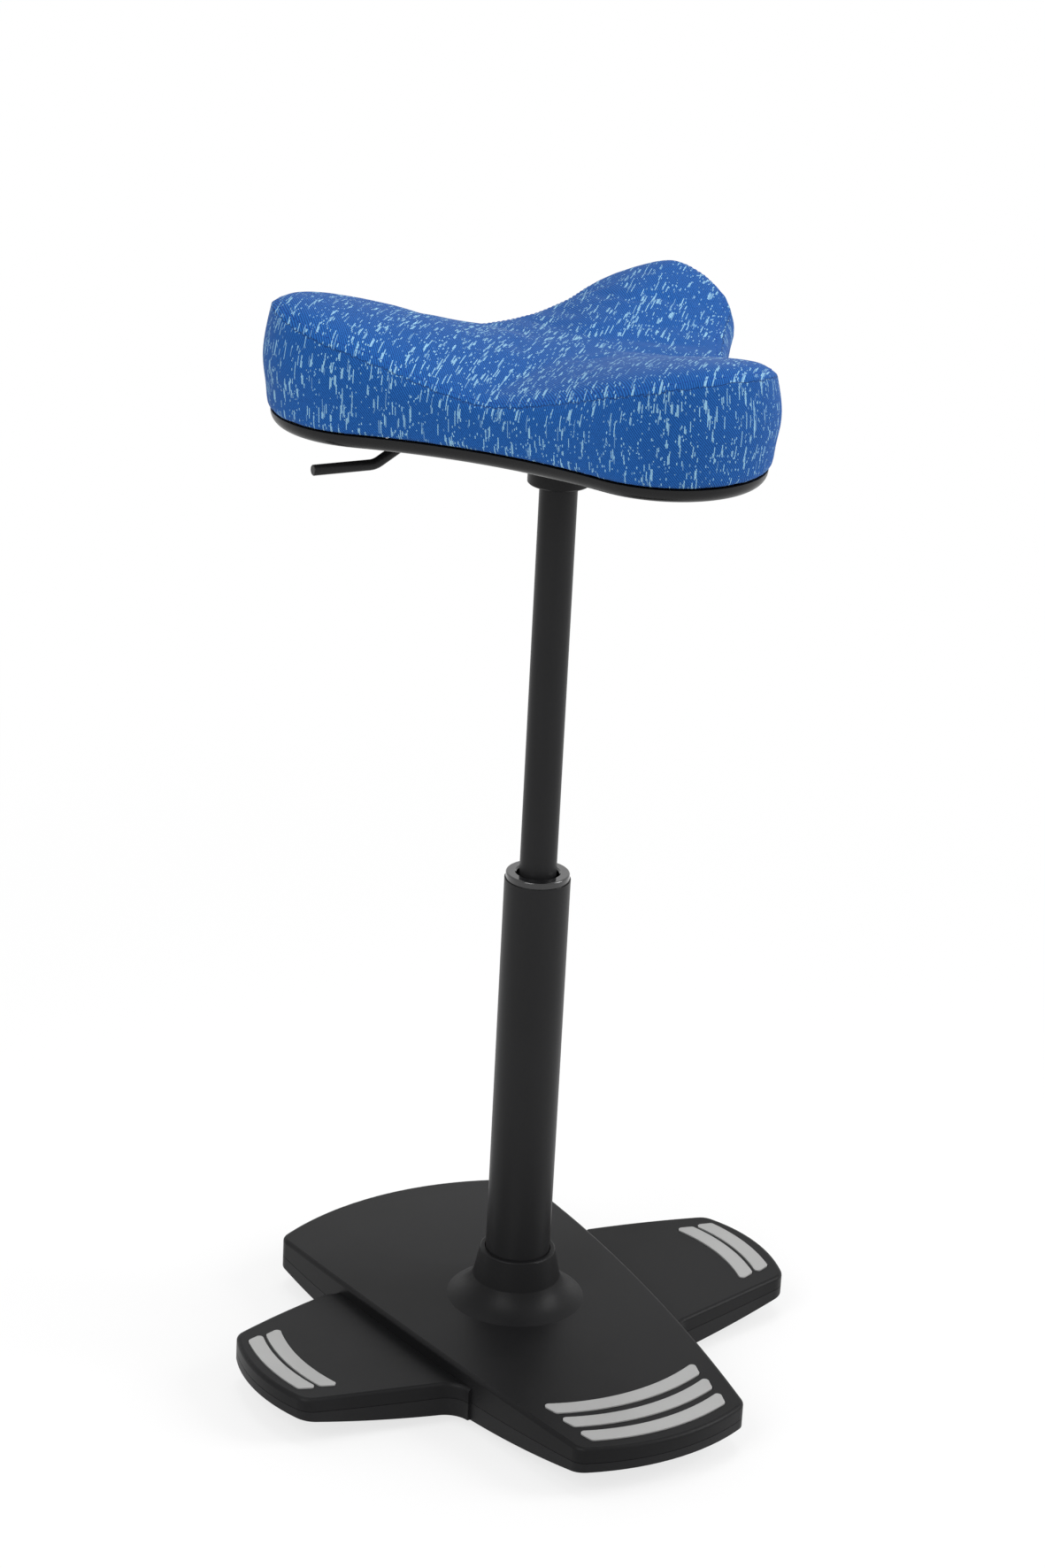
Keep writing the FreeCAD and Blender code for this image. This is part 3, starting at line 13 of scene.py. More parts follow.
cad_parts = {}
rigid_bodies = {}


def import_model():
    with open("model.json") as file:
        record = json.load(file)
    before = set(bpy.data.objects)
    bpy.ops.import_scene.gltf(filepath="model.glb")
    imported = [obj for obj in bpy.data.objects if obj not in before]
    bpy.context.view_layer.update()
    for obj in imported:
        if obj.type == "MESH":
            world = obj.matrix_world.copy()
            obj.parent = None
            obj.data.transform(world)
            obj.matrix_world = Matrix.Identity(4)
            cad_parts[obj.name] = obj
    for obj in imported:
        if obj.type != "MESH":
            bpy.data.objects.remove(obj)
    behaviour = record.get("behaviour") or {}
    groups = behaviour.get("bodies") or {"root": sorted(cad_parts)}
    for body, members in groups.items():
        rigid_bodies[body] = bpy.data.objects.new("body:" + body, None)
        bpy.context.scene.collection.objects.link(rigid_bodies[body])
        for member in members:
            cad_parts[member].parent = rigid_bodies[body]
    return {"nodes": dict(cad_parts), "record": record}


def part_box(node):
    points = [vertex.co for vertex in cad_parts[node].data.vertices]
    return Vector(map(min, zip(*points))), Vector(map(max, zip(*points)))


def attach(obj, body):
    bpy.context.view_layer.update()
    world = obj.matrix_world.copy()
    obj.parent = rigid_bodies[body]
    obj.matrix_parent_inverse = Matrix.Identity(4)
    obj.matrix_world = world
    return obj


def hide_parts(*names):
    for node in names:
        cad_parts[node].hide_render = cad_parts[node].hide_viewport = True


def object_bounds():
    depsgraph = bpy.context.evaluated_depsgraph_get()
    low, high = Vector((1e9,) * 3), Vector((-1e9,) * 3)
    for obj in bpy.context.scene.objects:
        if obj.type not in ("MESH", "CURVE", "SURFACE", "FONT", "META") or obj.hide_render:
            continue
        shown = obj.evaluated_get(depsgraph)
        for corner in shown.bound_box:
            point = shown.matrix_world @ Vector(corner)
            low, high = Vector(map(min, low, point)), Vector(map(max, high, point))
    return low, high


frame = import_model()
CAD_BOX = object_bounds()

log = logging.getLogger("wobble_stool")

Colour = tuple[float, float, float]
NodeSocket = bpy.types.NodeSocket
NodeOwner = bpy.types.Material | bpy.types.World

WHITE: Colour = (1.0, 1.0, 1.0)
LOBE_COUNT = 3


def rgba(colour: Colour) -> tuple[float, float, float, float]:
    """Returns a colour with full opacity.

    Args:
        colour: red, green and blue.
    """
    return (*colour, 1.0)


def smooth_step(value: float, low: float, high: float) -> float:
    """Returns how far a value has come from low to high, eased at both ends.

    Args:
        value: the value.
        low: where the result is 0.
        high: where it is 1.
    """
    share = max(0.0, min(1.0, (value - low) / (high - low)))
    return share * share * (3 - 2 * share)


def half_turn(angle: float) -> float:
    """Returns an angle as one between minus and plus half a turn.

    Args:
        angle: the angle, in radians.
    """
    return (angle + math.pi) % math.tau - math.pi


def deselect_all() -> None:
    """Clears the selection, such as the one that loading leaves."""
    for other in bpy.context.view_layer.objects:
        other.select_set(False)


def select_only(piece: bpy.types.Object) -> None:
    """Selects one object and nothing else.

    Args:
        piece: the object.
    """
    deselect_all()
    piece.select_set(True)
    bpy.context.view_layer.objects.active = piece


def apply_modifier(piece: bpy.types.Object, name: str, kind: str, **settings: object) -> None:
    """Shapes the active object with a modifier and applies it.

    Args:
        piece: the active object.
        name: the modifier's name.
        kind: its type.
        settings: its own options.
    """
    modifier = piece.modifiers.new(name, kind)
    for key, value in settings.items():
        setattr(modifier, key, value)
    bpy.ops.object.modifier_apply(modifier=modifier.name)


class FabricSide(Enum):
    """The two panels that meet at the cushion's stitched seam."""

    TOP = "panel"
    BAND = "band"


class NodeSheet:
    """Writes the nodes of one material or world, a line for each."""

    def __init__(self, owner: NodeOwner) -> None:
        """Empties the owner's nodes and adds its output.

        Args:
            owner: the material or world.
        """
        owner.use_nodes = True
        self.owner = owner
        self.tree = owner.node_tree
        self.tree.nodes.clear()
        kind = "World" if isinstance(owner, bpy.types.World) else "Material"
        self.output = self.tree.nodes.new(f"ShaderNodeOutput{kind}")

    def add(self, kind: str, inputs: dict[str | int, object] | None = None,
            **settings: object) -> bpy.types.Node:
        """Adds a node, sets its options and fills or links its inputs.

        Args:
            kind: the node's type.
            inputs: a value or a socket for each named or numbered input.
            settings: the node's own options.

        Returns:
            The new node.
        """
        node = self.tree.nodes.new(kind)
        for name, value in settings.items():
            setattr(node, name, value)
        for key, value in (inputs or {}).items():
            if isinstance(value, NodeSocket):
                self.tree.links.new(value, node.inputs[key])
            else:
                node.inputs[key].default_value = value
        return node

    def math(self, operation: str, *values: object, clamp: bool = False) -> NodeSocket:
        """Adds a Math node.

        Args:
            operation: what it does with its values.
            values: numbers or sockets.
            clamp: whether the result stays between 0 and 1.

        Returns:
            The result's socket.
        """
        node = self.add("ShaderNodeMath", dict(enumerate(values)), operation=operation)
        node.use_clamp = clamp
        return node.outputs[0]

    def ramp(self, factor: NodeSocket, low: float, high: float,
             from_value: float = 0.0, to_value: float = 1.0) -> NodeSocket:
        """Maps a factor smoothly from one range to another.

        Args:
            factor: the socket to map.
            low: the factor at which the result starts to change.
            high: the factor at which it has changed.
            from_value: the result up to low.
            to_value: the result from high on.

        Returns:
            The result's socket.
        """
        node = self.add("ShaderNodeMapRange", {0: factor, 1: low, 2: high, 3: from_value,
                                               4: to_value}, interpolation_type="SMOOTHSTEP")
        return node.outputs[0]

    def mix(self, factor: object, first: object, second: object,
            blend: str = "MIX") -> NodeSocket:
        """Mixes two colours.

        Args:
            factor: a number or a socket.
            first: the colour at factor 0.
            second: the colour at factor 1.
            blend: how they mix.

        Returns:
            The result's socket.
        """
        node = self.add("ShaderNodeMix", {0: factor, 6: first, 7: second}, data_type="RGBA",
                        blend_type=blend)
        return node.outputs[2]

    def noise(self, vector: object, scale: float, detail: float = 2.0,
              roughness: float = 0.5) -> NodeSocket:
        """Adds a noise texture.

        Args:
            vector: where it is read.
            scale: how many times it repeats in a metre.
            detail: its octaves.
            roughness: how strong the fine ones are.

        Returns:
            The noise's value.
        """
        node = self.add("ShaderNodeTexNoise", {"Vector": vector, "Scale": scale,
                                               "Detail": detail, "Roughness": roughness})
        return node.outputs[0]

    def place(self) -> NodeSocket:
        """Returns the object coordinates."""
        return self.add("ShaderNodeTexCoord").outputs["Object"]

    def sees_white(self) -> NodeSocket:
        """Returns 1 for a ray that sees the white studio, from the camera or off a gloss."""
        rays = self.add("ShaderNodeLightPath").outputs
        seen = rays["Is Camera Ray"]
        for kind in ("Is Glossy Ray", "Is Transmission Ray"):
            seen = self.math("MAXIMUM", seen, rays[kind])
        return seen

    def finish(self, shader: bpy.types.Node) -> NodeOwner:
        """Joins a shader to the output.

        Args:
            shader: the node whose first output is shown.

        Returns:
            The finished material or world.
        """
        self.tree.links.new(shader.outputs[0], self.output.inputs["Surface"])
        return self.owner


@dataclass(frozen=True)
class GrainedFinish:
    """A moulded or coated surface: one colour, a fine grain and a faint cloud of wear."""

    name: str
    colour: Colour
    roughness: float
    grain_per_metre: float = 1400.0
    grain_height: float = 0.00012
    cloud: float = 0.15
    metallic: float = 0.0
    specular: float = 0.5
    coat: float = 0.0
    coat_roughness: float = 0.1
    cloud_scale: float = 9.0
    pebble_scale: float = 0.7
    pebble_share: float = 0.5
    rough_swing: float = 0.04
    bump_strength: float = 0.35

    def material(self) -> bpy.types.Material:
        """Returns the finish as a material."""
        sheet = NodeSheet(bpy.data.materials.new(self.name))
        place = sheet.place()
        cloud = sheet.noise(place, self.cloud_scale, 3.0)
        grain = sheet.noise(place, self.grain_per_metre, 2.0, 0.6)
        pebble = sheet.add("ShaderNodeTexVoronoi", {
            "Vector": place, "Scale": self.grain_per_metre * self.pebble_scale})
        darker = tuple(part * (1 - self.cloud) for part in self.colour)
        lighter = tuple(part * (1 + self.cloud) for part in self.colour)
        colour = sheet.mix(sheet.ramp(cloud, 0.35, 0.65), rgba(darker), rgba(lighter))
        rough = sheet.math("ADD", self.roughness - self.rough_swing,
                           sheet.math("MULTIPLY", grain, 2 * self.rough_swing))
        height = sheet.math("ADD", grain,
                            sheet.math("MULTIPLY", pebble.outputs[0], self.pebble_share))
        bump = sheet.add("ShaderNodeBump", {
            "Strength": self.bump_strength, "Distance": self.grain_height, "Height": height})
        shader = sheet.add("ShaderNodeBsdfPrincipled", {
            "Base Color": colour, "Metallic": self.metallic, "Roughness": rough,
            "Specular IOR Level": self.specular, "Coat Weight": self.coat,
            "Coat Roughness": self.coat_roughness, "Normal": bump.outputs[0]})
        return sheet.finish(shader)


@dataclass(frozen=True)
class SlubYarn:
    """One kind of pale fleck: threads that lie side by side and end at random."""

    width: float
    length: float
    share: float
    together: int
    shift: float
    start_spread: float = 17.0
    latest_start: float = 0.45
    least_reach: float = 0.2
    reach_spread: float = 0.6
    edge: tuple[float, float] = (0.38, 0.5)
    faintest: float = 0.35

    def mask(self, sheet: NodeSheet, across: NodeSocket, along: NodeSocket) -> NodeSocket:
        """Draws the flecks.

        Args:
            sheet: the material's nodes.
            across: the distance across the threads, in metres.
            along: the distance along them.

        Returns:
            A mask that is above 0 on a fleck.
        """
        place = sheet.math("DIVIDE", across, self.width)
        thread = sheet.math("FLOOR", place)
        group = sheet.math("FLOOR", sheet.math("DIVIDE", thread, float(self.together)))
        start = self._chance(sheet, group, 0.0, 0.0)
        step = sheet.math("ADD", sheet.math("DIVIDE", along, self.length),
                          sheet.math("MULTIPLY", start, self.start_spread))
        cell = sheet.math("FLOOR", step)
        within = sheet.math("SUBTRACT", step, cell)
        luck = self._chance(sheet, group, cell, 1.0)
        own = self._chance(sheet, thread, cell, 2.0)
        low = sheet.math("MULTIPLY", own, self.latest_start)
        more = self._chance(sheet, thread, cell, 3.0)
        reach = sheet.math("ADD", self.least_reach,
                           sheet.math("MULTIPLY", more, self.reach_spread))
        here = sheet.math("MULTIPLY", sheet.math("GREATER_THAN", luck, self.share),
                          sheet.math("GREATER_THAN", within, low))
        here = sheet.math("MULTIPLY", here, sheet.math("LESS_THAN", within,
                                                       sheet.math("ADD", low, reach)))
        beside = sheet.math("ABSOLUTE", sheet.math("SUBTRACT", sheet.math("FRACT", place), 0.5))
        here = sheet.math("MULTIPLY", here, sheet.ramp(beside, *self.edge, 1.0, 0.0))
        return sheet.math("MULTIPLY", here, sheet.ramp(own, 0.0, 0.5, self.faintest, 1.0))

    def _chance(self, sheet: NodeSheet, first: NodeSocket, second: object,
                kind: float) -> NodeSocket:
        """Returns a number from 0 to 1 that belongs to a thread and a cell.

        Args:
            sheet: the material's nodes.
            first: the thread or group.
            second: the cell along it.
            kind: which of its numbers this is.
        """
        where = sheet.add("ShaderNodeCombineXYZ", {0: first, 1: second, 2: self.shift + kind})
        return sheet.add("ShaderNodeTexWhiteNoise", {0: where.outputs[0]},
                         noise_dimensions="3D").outputs[0]


@dataclass(frozen=True)
class FleckedTwill:
    """Blue twill with pale flecks of slub yarn, which run down the band and across the top, and
    painted shade in the groove beside the seam.
    """

    name: str = "blue_flecked_twill"
    blue: Colour = (0.0125, 0.112, 0.385)
    deep_blue: Colour = (0.0035, 0.040, 0.175)
    fleck: Colour = (0.25, 0.46, 0.61)
    rib_pitch: float = 0.0018
    rib_slant: float = 0.8
    wander: float = 0.0009
    wander_scale: float = 70.0
    thread_scale: float = 1100.0
    fleck_cover: float = 0.9
    # Where the groove beside the seam lies, both for its bump and for its painted shade.
    groove: tuple[float, float] = (0.0002, 0.0014)
    pucker: tuple[float, float] = (0.0015, 0.014)
    pucker_scale: float = 130.0
    pucker_slack: float = 0.25
    yarns: tuple[SlubYarn, ...] = (
        SlubYarn(0.00078, 0.0115, 0.885, 2, 11.0),
        SlubYarn(0.00070, 0.0160, 0.915, 1, 31.0),
        SlubYarn(0.00080, 0.0028, 0.915, 1, 57.0),
    )

    def material(self) -> bpy.types.Material:
        """Returns the cloth as a material that reads the cushion's own maps."""
        sheet = NodeSheet(bpy.data.materials.new(self.name))
        band = sheet.add("ShaderNodeUVMap", uv_map=FabricSide.BAND.value)
        top = sheet.add("ShaderNodeUVMap", uv_map=FabricSide.TOP.value)
        seam = sheet.add("ShaderNodeAttribute", attribute_name="seam_distance").outputs["Fac"]
        is_top = sheet.math("GREATER_THAN", seam, 0.0)
        cloth = sheet.add("ShaderNodeMix", {0: is_top, 4: band.outputs[0], 5: top.outputs[0]},
                          data_type="VECTOR")
        parts = sheet.add("ShaderNodeSeparateXYZ", {0: cloth.outputs[1]})
        wander = sheet.noise(cloth.outputs[1], self.wander_scale, 2.0)
        across = sheet.math("ADD", parts.outputs[0],
                            sheet.math("MULTIPLY", wander, self.wander))
        along = parts.outputs[1]
        flecks = self._flecks(sheet, across, along)
        slant = sheet.math("ADD", across, sheet.math("MULTIPLY", along, self.rib_slant))
        wave = sheet.math("SINE", sheet.math("MULTIPLY", slant, math.tau / self.rib_pitch))
        rib = sheet.ramp(wave, -0.8, 0.6)
        thread = sheet.noise(cloth.outputs[1], self.thread_scale, 2.0)
        blue = sheet.mix(rib, rgba(self.deep_blue), rgba(self.blue))
        blue = sheet.mix(sheet.ramp(thread, 0.35, 0.7, 0.0, 0.4), blue, rgba(self.deep_blue))
        cover = sheet.math("MULTIPLY", flecks, self.fleck_cover)
        colour = sheet.mix(cover, blue, rgba(self.fleck))
        beside = sheet.math("ABSOLUTE", seam)
        groove = sheet.ramp(beside, *self.groove)
        # Painted shade: the cloth is darkened towards the deep blue in the groove beside the
        # seam, most at the seam itself.
        colour = sheet.mix(sheet.ramp(beside, *self.groove, 0.75, 0.0), colour,
                           rgba(self.deep_blue))
        height = sheet.math("ADD", sheet.math("MULTIPLY", rib, 0.35),
                            sheet.math("MULTIPLY", thread, 0.3))
        height = sheet.math("ADD", height, sheet.math("MULTIPLY", flecks, 0.25))
        weave = sheet.add("ShaderNodeBump", {"Strength": 0.6, "Distance": 0.0004,
                                             "Height": height})
        gathered = sheet.add("ShaderNodeBump", {"Strength": 0.5, "Distance": 0.0016,
                                                "Height": self._puckers(sheet, band, seam),
                                                "Normal": weave.outputs[0]})
        tuck = sheet.add("ShaderNodeBump", {"Strength": 0.8, "Distance": 0.0010,
                                            "Height": groove, "Normal": gathered.outputs[0]})
        shader = sheet.add("ShaderNodeBsdfPrincipled", {
            "Base Color": colour, "Roughness": 0.85, "Specular IOR Level": 0.15,
            "Sheen Weight": 0.05, "Sheen Roughness": 0.4, "Normal": tuck.outputs[0]})
        return sheet.finish(shader)

    def _flecks(self, sheet: NodeSheet, across: NodeSocket, along: NodeSocket) -> NodeSocket:
        """Lays every kind of fleck over the others.

        Args:
            sheet: the material's nodes.
            across: the distance across the threads, in metres.
            along: the distance along them.

        Returns:
            The mask of them all.
        """
        laid = self.yarns[0].mask(sheet, across, along)
        for yarn in self.yarns[1:]:
            laid = sheet.math("MAXIMUM", laid, yarn.mask(sheet, across, along))
        return laid

    def _puckers(self, sheet: NodeSheet, band: bpy.types.Node, seam: NodeSocket) -> NodeSocket:
        """Makes the small gathers that the seam draws into the cloth.

        Args:
            sheet: the material's nodes.
            band: the band's map, whose first value is the length along the seam.
            seam: the distance from the seam.

        Returns:
            Their height.
        """
        beside = sheet.ramp(sheet.math("ABSOLUTE", seam), *self.pucker, 1.0, 0.0)
        run = sheet.add("ShaderNodeSeparateXYZ", {0: band.outputs[0]}).outputs[0]
        away = sheet.math("MULTIPLY", seam, self.pucker_slack)
        place = sheet.add("ShaderNodeCombineXYZ", {0: run, 1: away})
        fold = sheet.noise(place.outputs[0], self.pucker_scale, 1.0)
        return sheet.math("MULTIPLY", fold, beside)


class Palette:
    """Every finish of the stool by the material slot that it dresses."""

    FINISHES = {
        "base_plastic": GrainedFinish("base_plastic", (0.0085, 0.0085, 0.0090), 0.42, 1500.0,
                                      0.00016, specular=0.1),
        "under_plastic": GrainedFinish("under_plastic", (0.0110, 0.0110, 0.0116), 0.46, 1500.0,
                                       0.00016, specular=0.12),
        "grip_rubber": GrainedFinish("grip_rubber", (0.34, 0.34, 0.337), 0.62, 1800.0, 0.0001,
                                     0.04),
        "sole_rubber": GrainedFinish("sole_rubber", (0.02, 0.02, 0.02), 0.8, 900.0),
        "ballast_iron": GrainedFinish("ballast_iron", (0.1, 0.1, 0.1), 0.7, 500.0, 0.0004,
                                      metallic=0.8),
        "zinc_steel": GrainedFinish("zinc_steel", (0.55, 0.56, 0.57), 0.32, 2000.0, 0.00003,
                                    0.05, metallic=1.0),
        "column_paint": GrainedFinish("column_paint", (0.0125, 0.0125, 0.0131), 0.38, 2600.0,
                                      0.0001, 0.05, specular=0.13),
        "cylinder_paint": GrainedFinish("cylinder_paint", (0.0125, 0.0125, 0.0131), 0.38,
                                        2600.0, 0.0001, 0.05, specular=0.13),
        "ring_plastic": GrainedFinish("ring_plastic", (0.008, 0.008, 0.009), 0.12, 800.0,
                                      0.00001, 0.03, coat=0.4, coat_roughness=0.05),
        "sleeve_plastic": GrainedFinish("sleeve_plastic", (0.62, 0.6, 0.55), 0.45),
        "bearing_steel": GrainedFinish("bearing_steel", (0.5, 0.5, 0.51), 0.22, 900.0,
                                       0.00002, 0.04, metallic=1.0),
        "rod_chrome": GrainedFinish("rod_chrome", (0.72, 0.72, 0.73), 0.08, 900.0, 0.00001,
                                    0.02, metallic=1.0),
        "aluminium": GrainedFinish("aluminium", (0.66, 0.66, 0.68), 0.35, 1500.0, 0.00003,
                                   0.04, metallic=1.0),
        "valve_plastic": GrainedFinish("valve_plastic", (0.7, 0.7, 0.68), 0.4),
        "shroud_plastic": GrainedFinish("shroud_plastic", (0.009, 0.009, 0.0095), 0.4, 1500.0,
                                        0.00012, specular=0.15),
        "plate_paint": GrainedFinish("plate_paint", (0.02, 0.02, 0.021), 0.45),
        "pan_plastic": GrainedFinish("pan_plastic", (0.007, 0.007, 0.0075), 0.3, 1300.0,
                                     0.00008, 0.05, specular=0.22),
        "board_plastic": GrainedFinish("board_plastic", (0.05, 0.05, 0.05), 0.6),
        "lever_paint": GrainedFinish("lever_paint", (0.009, 0.009, 0.0095), 0.34, 2200.0,
                                     0.00006, 0.04, specular=0.2),
    }

    def __init__(self) -> None:
        """Builds each material once."""
        self.materials = {slot: finish.material() for slot, finish in self.FINISHES.items()}
        self.cloth = FleckedTwill().material()
        self.thread = GrainedFinish("blue_thread", (0.006, 0.062, 0.34), 0.7, 2400.0, 0.00006,
                                    0.1, specular=0.25).material()

    def dress(self, piece: bpy.types.Object, slot: str) -> None:
        """Gives a piece the finish of a slot.

        Args:
            piece: the piece or carried-over CAD node.
            slot: the record's material slot.
        """
        piece.data.materials.clear()
        piece.data.materials.append(self.materials.get(slot, self.cloth))


@dataclass
class SeatPlan:
    """The cushion's outline from above, three lobes joined by hollow waists, in metres."""

    turn_degrees: float = 33.9
    end_lobe: tuple[float, float, float] = (0.1445, 0.0, 0.065)
    side_lobe: tuple[float, float, float] = (-0.081, 0.1127, 0.0746)
    side_waist: float = 0.345
    end_waist: float = 0.410
    seam_tuck: float = 0.0007
    lobe_heights: tuple[float, float, float] = (0.8295, 0.8383, 0.8383)
    waist_height: float = 0.798
    lobe_peaks: tuple[float, float, float] = (4.2, 1.1, 1.1)
    samples: int = 40
    lobes: list[tuple[Vector, float]] = field(init=False)
    waists: list[tuple[Vector, float]] = field(init=False)

    def __post_init__(self) -> None:
        """Finds the circles that make the outline."""
        x, y, radius = self.side_lobe
        end_x, end_y, end_radius = self.end_lobe
        self.lobes = [(Vector((end_x, end_y)), end_radius - self.seam_tuck),
                      (Vector((x, y)), radius - self.seam_tuck),
                      (Vector((x, -y)), radius - self.seam_tuck)]
        self.waists = [self._waist(0, 1, self.end_waist + self.seam_tuck),
                       self._waist(1, 2, self.side_waist + self.seam_tuck),
                       self._waist(2, 0, self.end_waist + self.seam_tuck)]

    def _waist(self, first: int, second: int, radius: float) -> tuple[Vector, float]:
        """Finds the circle that touches two lobes from outside.

        Args:
            first: the lobe that it leaves.
            second: the lobe that it reaches.
            radius: its own radius.

        Returns:
            Its centre and radius.
        """
        (start, start_radius), (end, end_radius) = self.lobes[first], self.lobes[second]
        chord = end - start
        near, far = start_radius + radius, end_radius + radius
        along = (near ** 2 - far ** 2 + chord.length_squared) / (2 * chord.length)
        across = math.sqrt(near ** 2 - along ** 2)
        way = chord.normalized()
        return start + way * along + Vector((way.y, -way.x)) * across, radius

    def seam(self) -> list[Vector]:
        """Returns the seam as a closed run of points in the stool's frame."""
        turn = Matrix.Rotation(math.radians(self.turn_degrees), 2)
        points = []
        for lobe in range(LOBE_COUNT):
            centre, radius = self.lobes[lobe]
            first = (self.waists[lobe - 1][0] - centre).normalized() * radius
            last = (self.waists[lobe][0] - centre).normalized() * radius
            points += self._arc(centre, first, last, True)
            hollow, hollow_radius = self.waists[lobe]
            following = self.lobes[(lobe + 1) % LOBE_COUNT][0]
            first = (centre - hollow).normalized() * hollow_radius
            last = (following - hollow).normalized() * hollow_radius
            points += self._arc(hollow, first, last, False)
        lifted = []
        for point in points:
            height = self.seam_height(point)
            point = turn @ point
            lifted.append(Vector((point.x, point.y, height)))
        return lifted

    def _arc(self, centre: Vector, first: Vector, last: Vector,
             anticlockwise: bool) -> list[Vector]:
        """Samples an arc, without its last point.

        Args:
            centre: the arc's centre.
            first: from the centre to its start.
            last: from the centre to its end.
            anticlockwise: which way round it goes.

        Returns:
            The points.
        """
        sweep = (math.atan2(last.y, last.x) - math.atan2(first.y, first.x)) % math.tau
        if not anticlockwise:
            sweep -= math.tau
        return [centre + Matrix.Rotation(sweep * step / self.samples, 2) @ first
                for step in range(self.samples)]

    def seam_height(self, point: Vector) -> float:
        """Returns the seam's height over a point of the outline.

        Args:
            point: a point in the seat's own frame.
        """
        angle = math.atan2(point.y, point.x)
        peaks = [math.atan2(centre.y, centre.x) for centre, _ in self.lobes]
        hollows = [math.atan2(centre.y, centre.x) for centre, _ in self.waists]
        gaps = [half_turn(angle - peak) for peak in peaks]
        lobe = min(range(LOBE_COUNT), key=lambda number: abs(gaps[number]))
        waist = lobe if gaps[lobe] > 0 else (lobe - 1) % LOBE_COUNT
        whole = abs(half_turn(hollows[waist] - peaks[lobe]))
        share = (1 - smooth_step(abs(gaps[lobe]), 0.0, whole)) ** self.lobe_peaks[lobe]
        return self.waist_height + (self.lobe_heights[lobe] - self.waist_height) * share


